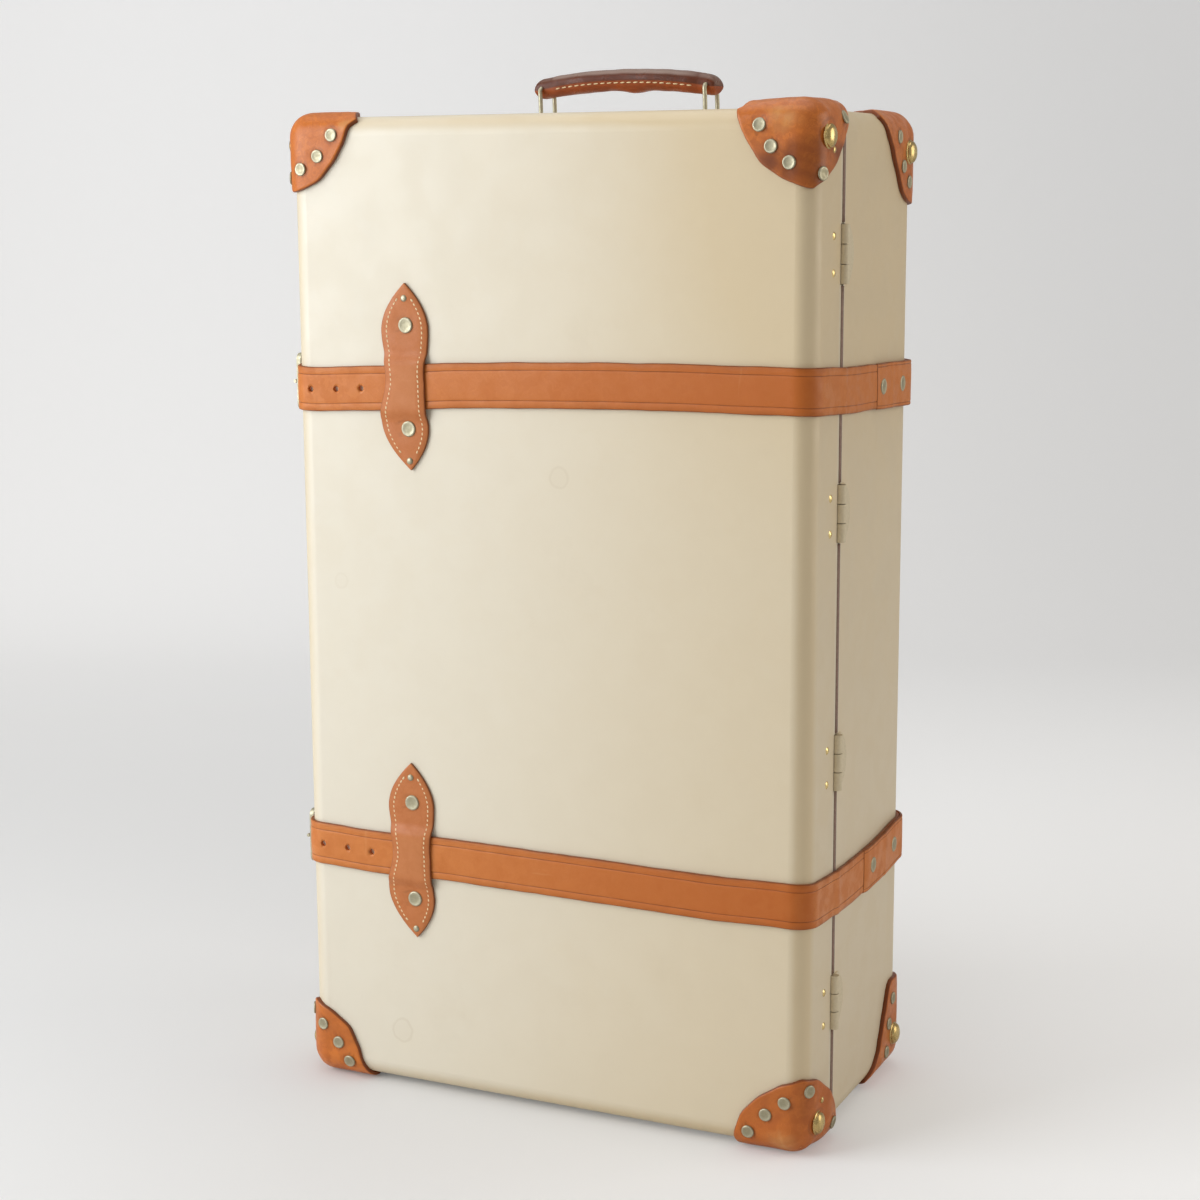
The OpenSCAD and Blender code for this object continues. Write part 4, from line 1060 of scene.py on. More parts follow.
def strip_section(half: float, thick: float, crease: float) -> tuple[Array, Array, Array]:
    """The outline of a leather strip's cut, as a closed loop.

    It runs along the flat underside, up the rounded edge, across the crowned top with a pressed line near each
    edge, and down the other edge.

    Args:
        half: Half of the strip's width.
        thick: Its thickness.
        crease: Distance of the pressed lines from the edges; 0 leaves them out.

    Returns:
        Place across, height and wear mask of each point.
    """
    side = [(half, thick * 0.22, 1.0), (half, thick * 0.68, 1.0)]
    side += [(half - 0.28, thick - 0.3, 0.8), (half - 0.95, thick, 0.35)]
    if crease:
        side += [
            (half - crease + 0.75, thick + 0.02, 0.05), (half - crease + 0.3, thick - 0.14, 0.35),
            (half - crease, thick - 0.42, 0.8), (half - crease - 0.3, thick - 0.14, 0.35),
            (half - crease - 0.8, thick + 0.03, 0.05),
        ]
    side += [(half * 0.55, thick + 0.12, 0.0), (half * 0.25, thick + 0.16, 0.0)]
    rows = [(-half * 0.5, 0.0, 0.6), (half * 0.5, 0.0, 0.6), (half - 0.5, 0.02, 1.0)] + side
    rows += [(0.0, thick + 0.17, 0.0)] + [(-v, h, m) for v, h, m in reversed(side)] + [(-half + 0.5, 0.02, 1.0)]
    loop = np.array(rows)
    return loop[:, 0], loop[:, 1], loop[:, 2]


@dataclass(frozen=True)
class StrapRun:
    """How one strap lies: the places that its middle passes, measured on the photograph, and its folded end."""

    name: str
    index: int
    knots: tuple[tuple[float, float], ...]
    patch_from: float
    patch_fold: float
    heads: tuple[tuple[float, float], ...]
    seed: float

    def centre(self, s: Array) -> Array:
        """Height of the strap's middle: the knots joined by straight lines, averaged over 24 mm either way."""
        where, height = np.array(self.knots).T
        shifts = np.linspace(-24.0, 24.0, 9)
        return np.mean([np.interp(s + d, where, height) for d in shifts], axis=0) + 0.35 * wander(s, self.seed, 170.0)


def lock_side(x: float) -> float:
    """Path distance of a place on the lock side, given by its distance behind the seam."""
    return PATH.distance_of("lock", CASE.seam + x)


def hinge_side(y: float) -> float:
    """Path distance of a place on the hinge side, given by its depth."""
    return PATH.distance_of("hinge", y)


UPPER_RUN = StrapRun(
    "upper", 0,
    ((lock_side(60), 563.0), (lock_side(-30), 562.6), (-212.0, 558.0), (-188.0, 558.6), (-165.0, 560.2),
     (-139.0, 561.4), (-82.0, 564.8), (-15.0, 567.3), (50.0, 569.0), (128.0, 569.4), (196.0, 569.6),
     (hinge_side(-100.7), 568.5), (hinge_side(-40.0), 565.1), (hinge_side(-6.6), 564.3), (hinge_side(20.0), 562.8),
     (hinge_side(71.0), 561.6), (hinge_side(100.0), 560.2), (hinge_side(190.0), 561.8), (hinge_side(400.0), 563.0)),
    20.0, 52.0, ((30.6, 562.6), (77.2, 561.4)), 1.7,
)
LOWER_RUN = StrapRun(
    "lower", 1,
    ((lock_side(60), 195.0), (lock_side(-30), 195.4), (-201.0, 196.4), (-176.0, 195.0), (-148.0, 194.2),
     (-90.0, 195.8), (-20.0, 195.5), (48.0, 194.8), (125.0, 193.6), (200.0, 195.8), (hinge_side(-86.4), 192.6),
     (hinge_side(-22.6), 189.6), (hinge_side(42.7), 190.2), (hinge_side(81.0), 193.5), (hinge_side(100.0), 195.0),
     (hinge_side(160.0), 196.0), (hinge_side(400.0), 195.0)),
    7.0, 55.0, ((25.2, 191.0), (77.4, 193.6)), 5.2,
)


@dataclass
class Straps:
    """The two leather straps: one long length each, the buckle end and the doubled end on the hinge side."""

    case: CaseSizes = CASE
    heel: float = -15.5
    far: float = -41.5
    tongue: float = 46.0
    point: float = 16.0
    rise_high: float = 8.76
    rise_low: float = 3.6
    hole: float = 4.6
    holes: tuple[float, ...] = (-196.0, -173.5, -151.2)
    patch_thick: float = 1.9
    patch_round: float = 46.0
    crease: float = 5.8
    patch_crease: float = 2.6

    def strip(
        self, parts: MeshParts, s: Array, run: StrapRun, base: Array, half: Array,
        thick: float, crease: float, middle: Array | None = None,
    ) -> None:
        """Adds a closed leather strip that lies along the path.

        A point is found from its place along (s), across (v) and above the underside (h): it lies base + h outside
        the path, at the height of the strap's middle + v. The section narrows to nothing at both ends.

        Args:
            parts: Where the surface goes.
            s: Stations along the path.
            run: How the strap lies.
            base: Height of the underside at each station.
            half: Half width at each station.
            thick: Thickness.
            crease: Distance of the pressed lines from the edges.
            middle: Height of the middle at each station; the run's own where left out.
        """
        across, height, mask = strip_section(self.case.strap_width / 2, thick, crease)
        centre = run.centre(s) if middle is None else middle
        v = across[None, :] * (half / (self.case.strap_width / 2))[:, None]
        h = np.broadcast_to(height[None, :], v.shape).copy()
        ends = np.minimum(np.arange(len(s)), np.arange(len(s))[::-1])
        shut = np.clip(ends / 2.0, 0.0, 1.0)[:, None]
        h = thick / 2 + (h - thick / 2) * np.sqrt(np.maximum(shut, 1e-4))
        v = v * np.where(shut < 0.4, 0.97, 1.0)
        h = np.where(ends[:, None] == 0, thick / 2, h)
        swell = 0.16 * dapple(np.stack(np.broadcast_arrays(s[:, None], v, 0 * v), -1), run.seed, 46.0)
        h = h + swell * (height[None, :] > thick * 0.5)
        point, _ = PATH.at(np.broadcast_to(s[:, None], v.shape), base[:, None] + h)
        edge = 0.22 * wander(s, run.seed + 3.0, 60.0)[:, None] * np.sign(v) * (np.abs(v) > 12)
        body = np.concatenate([point, (centre[:, None] + v + edge)[..., None]], axis=-1)
        coords = np.stack([np.broadcast_to(s[:, None], v.shape) * MM, v * MM], axis=-1)
        wear = np.clip(mask[None, :] + 0.12 * dapple(body, run.seed, 30.0), 0.0, 1.0)
        wear = np.maximum(wear, (ends[:, None] < 2) * 0.9)
        parts.grid(body, closed_v=True, coords=coords, mask=wear, flip=True)

    def long_length(self, run: StrapRun) -> Piece:
        """The strap from its tongue's tip through the buckle, over the lid face, the hinge side and the back.

        The underside lies on the board. It climbs over the buckle's far bar as a smooth step, comes down behind
        the heel bar as another, and past the seam on the hinge side it stands off by the strap's clearance.

        Args:
            run: Which strap, and how it lies.

        Returns:
            The length.
        """
        tip, stop = lock_side(self.tongue), PATH.distance_of("back", self.case.tab_x - 16.0)
        s = np.concatenate([
            np.arange(tip, -180.0, 1.6), np.arange(-180.0, 190.0, 3.0), np.arange(190.0, 233.0, 1.6),
            np.arange(233.0, stop, 3.0), [stop],
        ])
        x = lock_side(0.0) - s
        up = self.rise_high * ease((x - self.far - 3.0) / 15.0)
        down = (self.rise_high - self.rise_low) * ease((x - self.heel - 5.08) / 14.0)
        base = np.where(s < -150.0, up - down, 0.0) + 0.02
        seam = hinge_side(self.case.seam)
        base = base + self.case.strap_gap * ease((s - seam + 10.0) / 8.0)
        base = base + 0.9 * np.exp(-((s - seam) / 5.0) ** 2)
        left = np.clip((s - tip) / self.point, 0.0, 1.0)
        half = self.case.strap_width / 2 * np.sqrt(1.0 - (1.0 - left) ** 2.2)
        half = np.maximum(half, 0.5)
        parts = MeshParts(f"strap_{run.name}_length")
        self.strip(parts, s, run, base, half, self.case.strap_thickness, self.crease)
        piece = parts.build(1e-5)
        self.punch(piece, run)
        return piece

    def punch(self, piece: Piece, run: StrapRun) -> None:
        """Cuts the row of holes on the lid face and the prong's slot through the strap, with one closed cutter.

        Args:
            piece: The long length.
            run: Which strap, and how it lies.
        """
        cutter = MeshParts("strap_cutter")
        for x in self.holes:
            z = float(run.centre(np.array([x]))[0])
            turn = np.linspace(0, 2 * math.pi, 20, endpoint=False)
            ring = np.stack([x + self.hole / 2 * np.cos(turn), 0 * turn, z + self.hole / 2 * np.sin(turn)], -1)
            rows = np.stack([ring * [0, 1, 0] + [x, y, z] if pole else ring + [0, y, 0]
                             for y, pole in ((self.case.front + 5, 1), (self.case.front + 5, 0),
                                             (self.case.front - 9, 0), (self.case.front - 9, 1))])
            cutter.grid(rows, closed_v=True)
        tool = cutter.build(1e-5, smooth=False)
        change = piece.modifiers.new("punch", "BOOLEAN")
        change.operation, change.solver, change.object = "DIFFERENCE", "EXACT", tool
        ready = piece.evaluated_get(bpy.context.evaluated_depsgraph_get())
        mesh = bpy.data.meshes.new_from_object(ready)
        old = piece.data
        piece.modifiers.clear()
        piece.data = mesh
        bpy.data.meshes.remove(old)
        bpy.data.objects.remove(tool)

    def buckle_end(self, run: StrapRun) -> Piece:
        """The back length's end: from the back tab round the lock side to a loop round the buckle's heel bar.

        The loop is a ring of leather round the bar whose two layers meet behind it and lie on each other.

        Args:
            run: Which strap, and how it lies.

        Returns:
            The buckle end.
        """
        parts = MeshParts(f"strap_{run.name}_buckle_end")
        start = PATH.distance_of("back", self.case.tab_x + 16.0) - PATH.total
        stop = lock_side(self.heel + 4.1)
        s = np.concatenate([np.arange(start, stop - 6.0, 3.0), np.linspace(stop - 6.0, stop, 5)])
        half = np.full(len(s), self.case.strap_width / 2)
        middle = np.full(len(s), self.case.strap_heights[run.index])
        base = np.full(len(s), self.case.strap_gap)
        self.strip(parts, s, run, base, half, self.case.strap_thickness, self.crease, middle)
        self.loop(parts, run)
        return parts.build()

    def loop(self, parts: MeshParts, run: StrapRun) -> None:
        """Adds the two halves of the leather loop, either side of the prong.

        In the plane square to the bar the leather is a ring whose outer side runs on tangentially into a tail.

        Args:
            parts: Where the surfaces go.
            run: Which strap, and how it lies.
        """
        bar, ring_in, ring_out = self.case.strap_gap + 4.08, 2.1, 4.05
        turn = np.radians(np.linspace(200.0, 520.0, 33))
        outer = np.stack([self.heel + ring_out * np.cos(turn), bar + ring_out * np.sin(turn)], -1)
        inner = np.stack([self.heel + ring_in * np.cos(turn), bar + ring_in * np.sin(turn)], -1)
        tail_x = np.linspace(self.heel + 5.0, self.heel + 13.5, 6)
        fall = 1.0 - ease((tail_x - self.heel - 5.0) / 8.5)
        tail = np.stack([tail_x, 3.45 + 3.0 * fall], -1)
        loop = np.concatenate([outer, tail, inner[::-1]])
        middle = self.case.strap_heights[run.index]
        for low, high in ((-16.6, -3.4), (3.4, 16.6)):
            across = np.array([low, low, low + 0.4, high - 0.4, high, high])
            pinch = np.array([0.0, 0.92, 1.0, 1.0, 0.92, 0.0])
            centre = loop.mean(0)
            shape = centre + (loop - centre)[None] * pinch[:, None, None]
            s = lock_side(0.0) - shape[..., 0]
            point, _ = PATH.at(s, shape[..., 1])
            z = np.broadcast_to((middle + across)[:, None], s.shape)
            mask = np.broadcast_to(np.array([0.9, 0.9, 0.2, 0.2, 0.9, 0.9])[:, None], s.shape)
            parts.grid(np.concatenate([point, z[..., None]], -1), closed_v=True, mask=mask)

    def patch(self, run: StrapRun) -> Piece:
        """The doubled end at the hinge side's rear edge: a second layer, pared thin at its start and creased across.

        Args:
            run: Which strap, and how it lies.

        Returns:
            The doubled end.
        """
        parts = MeshParts(f"strap_{run.name}_patch")
        start = hinge_side(run.patch_from)
        stop = PATH.distance_of("back", self.case.half_width - self.patch_round)
        s = np.concatenate([[start, start + 0.5], np.arange(start + 1.2, stop - 1.2, 2.0), [stop - 0.5, stop]])
        fold = hinge_side(run.patch_fold)
        base = self.case.strap_gap + self.case.strap_thickness + 0.08 + 0.5 * np.exp(-((s - fold) / 2.6) ** 2)
        base = base + 0.22 * ease((s - fold) / 2.0)
        base = base - 1.45 * (1.0 - ease((s - start) / 7.0))
        half = np.full(len(s), self.case.strap_width / 2 + 0.3)
        half = half + 0.2 * ease((s - fold) / 3.0) * ease((hinge_side(self.case.back - 1.0) - s) / 14.0)
        self.strip(parts, s, run, base, half, self.patch_thick, self.patch_crease)
        return parts.build()

    def make(self) -> None:
        """Builds both straps: dresses each long length and hides its nodes, and seats the buckle ends and the doubled
        ends.
        """
        for run in (UPPER_RUN, LOWER_RUN):
            long = self.long_length(run)
            dress(long, FINISH.strap)
            x, y = (self.case.half_width + self.case.pin_out) * MM, (self.case.seam - self.case.strap_cut) * MM
            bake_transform(long)
            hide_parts(f"strap_{run.name}_tongue", f"strap_{run.name}_front", f"strap_{run.name}_flex")
            log.info("%s: %d faces", long.name, len(long.data.polygons))
            seat(self.buckle_end(run), Body.BASE, "strap_leather", FINISH.strap, f"strap_{run.name}_back")
            seat(self.patch(run), Body.BASE, "strap_leather", FINISH.strap)


def dome_profile(radius: float, height: float, rim: float = 0.35) -> Array:
    """Radius and height of a nail's head: a short upright rim, then a dome to the middle.

    Args:
        radius: Radius of the head.
        height: Height of its middle.
        rim: Height of the upright rim.

    Returns:
        Rows of radius and height, from the foot of the rim to the pole.
    """
    t = np.linspace(0.0, 1.0, 9)
    arc = np.stack([radius * np.cos(t * math.pi / 2), rim + (height - rim) * np.sin(t * math.pi / 2) ** 1.15], -1)
    arc[-1, 0] = 1e-3
    return np.concatenate([[[1e-3, -0.5], [radius * 0.9, -0.5], [radius * 0.99, -0.15]], arc])


def rivet_profile(radius: float, height: float) -> Array:
    """Radius and height of a tubular rivet's head: nearly flat, with a rounded edge and a shallow dish.

    Args:
        radius: Radius of the head.
        height: Height of its edge.

    Returns:
        Rows of radius and height, from the foot to the middle.
    """
    rows = [
        (1e-4, -0.4), (0.9, -0.4), (1.0, -0.05), (1.0, 0.35), (0.965, 0.72),
        (0.88, 0.95), (0.80, 1.0), (0.68, 0.82), (0.3, 0.70), (1e-4, 0.68),
    ]
    return np.array(rows) * [radius, height]


def stud_profile(radius: float, height: float) -> Array:
    """Radius and height of a domed stud: a thin foot ring, a turned neck and a full round dome.

    Args:
        radius: Radius of the foot ring.
        height: Height of the dome.

    Returns:
        Rows of radius and height, from the foot to the pole.
    """
    t = np.linspace(0.0, 1.0, 10)
    dome = np.stack([radius * 0.9 * np.cos(t * math.pi / 2), 1.5 + (height - 1.5) * np.sin(t * math.pi / 2)], -1)
    dome[-1, 0] = 1e-3
    foot = np.array([(1e-4, -0.5), (0.94, -0.5), (1.0, 0.05), (1.0, 0.55), (0.96, 0.9), (0.885, 1.05)]) * [radius, 1.0]
    return np.concatenate([foot, dome])


def stitches(parts: MeshParts, path: Array, normal: Array, pitch: float, size: float) -> None:
    """Sews a row of stitches along a path: each is a small egg-shaped bead that lies along it.

    The bead is a grid of rings whose radius follows half a sine, scaled along the path, across it and outward.

    Args:
        parts: Where the beads go.
        path: Points on the leather's surface.
        normal: Outward unit normal at each point.
        pitch: Distance between two stitches.
        size: Half of a stitch's width.
    """
    step = np.linalg.norm(np.diff(path, axis=0), axis=1)
    run = np.concatenate([[0.0], np.cumsum(step)])
    where = np.arange(pitch / 2, run[-1], pitch)
    middle = np.stack([np.interp(where, run, path[:, k]) for k in range(3)], -1)
    ahead = np.stack([np.interp(where + 0.3, run, path[:, k]) for k in range(3)], -1)
    out = np.stack([np.interp(where, run, normal[:, k]) for k in range(3)], -1)
    out = out / np.linalg.norm(out, axis=1, keepdims=True)
    lead = ahead - middle
    lead = lead / np.maximum(np.linalg.norm(lead, axis=1, keepdims=True), 1e-9)
    side = np.cross(out, lead)
    lead = lead + 0.10 * side
    t = np.linspace(-1.0, 1.0, 6)
    turn = np.linspace(0, 2 * math.pi, 6, endpoint=False)
    round_off = np.sqrt(np.maximum(1 - t ** 2, 1e-6))
    for m, l, n, o in zip(middle, lead, side, out):
        bead = m + (pitch * 0.40) * t[:, None, None] * l + size * round_off[:, None, None] * (
            np.cos(turn)[None, :, None] * n + 0.75 * np.sin(turn)[None, :, None] * o)
        parts.grid(bead, closed_v=True)


@dataclass(frozen=True)
class CornerCut:
    """How far one leather corner reaches, as points on its three faces.

    Each point is given by its distances from the case's sharp corner along the face's two edges: front by
    (across, down), side by (down, depth) and end by (depth, across).
    """

    front: tuple[tuple[float, float], ...]
    side: tuple[tuple[float, float], ...]
    end: tuple[tuple[float, float], ...]
    front_heads: tuple[tuple[float, float], ...]
    side_heads: tuple[tuple[float, float], ...]
    stud: tuple[float, float]
    nail: tuple[float, float] | None


LID_END = ((54.5, 0), (53, 12), (48, 26), (39, 38), (27, 48), (13, 54), (0, 56))
HINGE_TOP_CUT = CornerCut(
    front=((58.5, 0), (57.4, 7), (52.4, 18.6), (46.6, 28.8), (39, 37.7), (29.4, 45.2), (16.9, 51.4), (7.4, 54.1),
           (0, 55)),
    side=((55, 0), (48.1, 14.6), (39.2, 26.8), (28.8, 36.9), (18.4, 45), (8, 51), (0, 54.5)),
    end=LID_END,
    front_heads=((40.4, 12.4), (32.0, 26.3), (18.5, 37.4)),
    side_heads=((45, 8.6), (8.8, 40.5)),
    stud=(19.4, 14.6),
    nail=(28.8, 23.6),
)
HINGE_FOOT_CUT = CornerCut(
    front=((56, 0), (56.2, 9.7), (52.3, 20.7), (45.2, 32.2), (34.9, 42.7), (23.9, 49.3), (13.7, 54.6), (5.0, 57.6),
           (0, 58)),
    side=((58, 0), (56.6, 9.6), (46, 29.8), (31.1, 43.9), (17, 51.5), (3.5, 54.3), (0, 54.5)),
    end=LID_END,
    front_heads=((43.8, 13.5), (30, 28.7), (15.2, 40.1)),
    side_heads=((48.5, 6.4), (12.0, 44.0)),
    stud=(20.8, 16.4),
    nail=(36.0, 23.8),
)
LOCK_TOP_CUT = CornerCut(
    front=((59.9, 0), (54.2, 8), (50.3, 17.4), (45.6, 27), (37.2, 38.2), (26.4, 47.5), (16, 53.3), (6, 55.8),
           (0, 56)),
    side=((56, 0), *HINGE_TOP_CUT.side[1:]),
    end=(*LID_END[:-1], (0, 59.9)),
    front_heads=((40.5, 13.9), (28.0, 29.1), (13.3, 38.7)),
    side_heads=HINGE_TOP_CUT.side_heads,
    stud=(20.5, 20),
    nail=(31, 28),
)
LOCK_FOOT_CUT = CornerCut(
    front=((50.5, 0), (49.6, 3.5), (48.2, 8.5), (45.8, 17), (41.6, 29.5), (34.5, 40.5), (23.6, 49), (13.6, 54.6),
           (5.1, 57.4), (0, 58)),
    side=((58, 0), *HINGE_FOOT_CUT.side[1:]),
    end=(*LID_END[:-1], (0, 50.5)),
    front_heads=((35.8, 12.2), (26, 26.2), (12.4, 39.8)),
    side_heads=HINGE_FOOT_CUT.side_heads,
    stud=(20.5, 20),
    nail=(34, 27),
)
BASE_BACK = ((45, 0), (47, 12), (46, 25), (42, 36), (35, 46), (24, 55), (10, 63), (0, 68))
BASE_END = ((76, 0), (70, 9), (58, 18), (46, 27), (35, 35), (23, 42), (10, 45), (0, 45))
BASE_TOP_CUT = CornerCut(
    front=BASE_BACK,
    side=((68, 0), (66.5, 12), (64.6, 21.2), (57.8, 31.7), (41.5, 45.3), (23.3, 58.7), (11.2, 71.5), (0, 76)),
    end=BASE_END,
    front_heads=((35, 15), (17, 38)),
    side_heads=((17, 45.5), (38.7, 34.5), (50.3, 20.6)),
    stud=(28, 20.5),
    nail=None,
)
BASE_FOOT_CUT = CornerCut(
    front=(*BASE_BACK[:-1], (0, 72)),
    side=((72, 0), (72.6, 15), (71.6, 26.6), (66.6, 31.5), (51.9, 38.6), (37.4, 45.6), (22.9, 52.5), (14.6, 62.4),
          (6, 71), (0, 76)),
    end=BASE_END,
    front_heads=((35, 15), (17, 38)),
    side_heads=((15.7, 37.3), (38, 32), (56.9, 23)),
    stud=(26, 20.5),
    nail=None,
)


@dataclass(frozen=True)
class CornerPlace:
    """Where a corner sits: its names, its body, the signs of its X, Y and Z, and the look of its leather.

    The last two values are how far the leather stands off on the side and on the end, and a rubbed spot on the
    front, given by across, down and reach.
    """

    name: str
    body: Body
    signs: tuple[int, int, int]
    cut: CornerCut
    stain: float
    seed: float
    proud: tuple[float, float] = (0.0, 0.0)
    spot: tuple[float, float, float] = (0.0, 0.0, 1.0)

    @property
    def sharp(self) -> Array:
        """The sharp corner of the case's block."""
        x, y, z = self.signs
        return np.array([x * CASE.half_width, y * CASE.back, CASE.high if z > 0 else CASE.low])


CORNERS = (
    CornerPlace("lid_corner_hinge_top", Body.LID, (1, -1, 1), HINGE_TOP_CUT, 0.9, 0.6, (2.6, 3.4), (24.0, 8.0, 13.0)),
    CornerPlace(
        "lid_corner_hinge_bottom", Body.LID, (1, -1, -1), HINGE_FOOT_CUT, 0.45, 2.9, (3.4, -0.8), (17.0, 10.0, 12.0)
    ),
    CornerPlace("lid_corner_lock_top", Body.LID, (-1, -1, 1), LOCK_TOP_CUT, 0.15, 4.4),
    CornerPlace("lid_corner_lock_bottom", Body.LID, (-1, -1, -1), LOCK_FOOT_CUT, 0.4, 6.1, (2.0, -0.8)),
    CornerPlace("base_corner_hinge_top", Body.BASE, (1, 1, 1), BASE_TOP_CUT, 0.3, 7.7, (0.0, -1.2)),
    CornerPlace("base_corner_hinge_bottom", Body.BASE, (1, 1, -1), BASE_FOOT_CUT, 0.4, 9.2, (0.0, -0.8)),
    CornerPlace("base_corner_lock_top", Body.BASE, (-1, 1, 1), BASE_TOP_CUT, 0.35, 10.8, (0.0, -1.2)),
    CornerPlace("base_corner_lock_bottom", Body.BASE, (-1, 1, -1), BASE_FOOT_CUT, 0.3, 12.5, (0.0, -0.8)),
)


@dataclass
class Corners:
    """The eight moulded leather corners with their rivets, studs and nails."""

    thick: float = 4.0
    radius: float = CASE.edge_radius
    rivet: float = 5.0
    rivet_height: float = 1.2
    stud: float = 9.3
    stud_height: float = 5.4
    nail: float = 2.5
    nail_height: float = 1.3
    sunk: float = 0.45

    def wrap(self, flat: Array, grow: Array | float, place: CornerPlace) -> tuple[Array, Array]:
        """Lays points of the three flat faces on the rounded case.

        Args:
            flat: Distances across, in depth and down from the sharp corner, in the last axis.
            grow: How far outside the board each point lies.
            place: The corner.

        Returns:
            The points and their outward normals. Each is the nearest point of a block smaller by the edge's
            radius, plus the direction from it times the radius and the growth.
        """
        inner = np.maximum(flat, self.radius)
        way = flat - inner
        way = way / np.linalg.norm(way, axis=-1, keepdims=True)
        local = inner + way * (self.radius + np.asarray(grow, float)[..., None])
        signs = np.array(place.signs, float)
        return place.sharp - signs * local, -signs * way

    def skin(self, place: CornerPlace) -> Piece:
        """Builds one corner's leather as a closed skin.

        Columns go round the corner through the three faces and rows go from the sharp corner to the cut edge,
        which is rolled off, and back underneath. Dents surround the rivets, and the leather swells softly.

        Args:
            place: The corner.

        Returns:
            The leather.
        """
        angles = np.radians(np.linspace(0.0, 90.0, 25)[:-1])
        axes = {"front": (0, 2), "side": (2, 1), "end": (1, 0)}
        units, reach = [], []
        for face, (first, second) in axes.items():
            cut = np.array(getattr(place.cut, face), float)
            at = np.arctan2(cut[:, 1], cut[:, 0])
            unit = np.zeros((len(angles), 3))
            unit[:, first], unit[:, second] = np.cos(angles), np.sin(angles)
            units.append(unit)
            reach.append(np.interp(angles, at, np.hypot(cut[:, 0], cut[:, 1])))
        unit, reach = np.concatenate(units), np.concatenate(reach)
        turn = np.arange(len(reach)) / len(reach) * 2 * math.pi
        reach = reach + 0.35 * np.sin(7 * turn + place.seed) + 0.25 * np.sin(13 * turn + 2 * place.seed)
        inside = np.linspace(0.0, 1.0, 30)[1:] ** 0.9
        off = np.array([-1.9, -0.9, -0.3, 0.0, 0.06, 0.0])
        lift = np.array([0.0, -0.12, -0.55, -1.4, -2.9, -3.97])
        rows = [np.full(len(reach), 1e-4)[None]] + [np.minimum(reach[None] * t, reach[None] - 2.4) for t in inside]
        top = np.concatenate(rows)
        rim = np.maximum(reach[None] + off[:, None], 0.0)
        back = np.concatenate([reach[None] * t for t in (0.8, 0.5, 0.25, 1e-5)])
        distance = np.concatenate([top, rim, back])
        grow = np.concatenate([np.full(top.shape, self.thick), np.broadcast_to(self.thick + lift[:, None], rim.shape),
                               np.full(back.shape, 0.03)])
        flat = distance[..., None] * unit[None]
        above = grow > 0.6
        dents = np.zeros(grow.shape)
        rings = np.zeros(grow.shape)
        heads = [np.array([a, 0.0, c]) for a, c in place.cut.front_heads]
        heads += [np.array([0.0, b, c]) for c, b in place.cut.side_heads]
        for head in heads:
            away = np.linalg.norm(flat - head, axis=-1)
            dents += 0.55 * np.exp(-(away / 8.0) ** 2)
            rings += 0.55 * np.exp(-((away - 5.6) / 1.3) ** 2)
        stud = np.array([0.0, place.cut.stud[1], place.cut.stud[0]])
        rings += 0.5 * np.exp(-((np.linalg.norm(flat - stud, axis=-1) - 10.2) / 1.6) ** 2)
        swell = 0.28 * dapple(flat, place.seed, 34.0) + 0.12 * dapple(flat, place.seed + 2.0, 13.0)
        near = np.clip((reach[None] - distance) / 9.0, 0.0, 1.0)
        grow = grow + above * (swell * 0.6 - dents - 0.35 * (1.0 - near)) * np.clip((grow - 0.5) / 3.5, 0, 1)
        away = np.clip((distance + 6.0) / reach[None], 0.0, 1.0)
        grow = grow + self.loose(place, flat, away) * np.clip((grow - 0.2) / 2.5, 0.0, 1.0)
        points, _ = self.wrap(flat, grow, place)
        edge = np.clip(1.0 - (reach[None] - distance) / 1.1, 0.0, 1.0)
        fold = np.exp(-(np.minimum(flat[..., 0], flat[..., 1]) / 13.0) ** 2) * ease((flat[..., 2] - 12.0) / 18.0)
        patchy = 0.62 + 0.38 * dapple(flat, place.seed + 5.0, 26.0)
        mask = np.clip(np.maximum(edge, np.maximum(rings, place.stain * fold * patchy)), 0.0, 1.0)
        pale = ease(dapple(flat, place.seed + 8.0, 42.0) * 1.6 - 0.55)
        mask = mask - 0.55 * pale * (mask < 0.15) * (1 - place.stain)
        across, down, size = place.spot
        away = (flat[..., 0] - across) ** 2 + (flat[..., 2] - down) ** 2
        rubbed = np.exp(-away / size ** 2) * (flat[..., 1] < 1.0)
        mask = mask - 0.6 * rubbed * (across > 0) * (mask < 0.3) * (0.7 + 0.3 * dapple(flat, place.seed + 4.0, 9.0))
        parts = MeshParts("leather_" + place.name)
        parts.grid(points, closed_v=True, mask=mask)
        return parts.build(2e-5)

    def loose(self, place: CornerPlace, flat: Array, away: Array | float) -> Array:
        """How far the leather stands off the board near the side and the end, less towards the cut edge."""
        side, end = place.proud
        stand = side * ease((flat[..., 1] - 14.0) / 26.0) * ease((18.0 - flat[..., 0]) / 14.0)
        return stand + end * ease((18.0 - flat[..., 2]) / 14.0) * (1.0 - 0.45 * away ** 3)

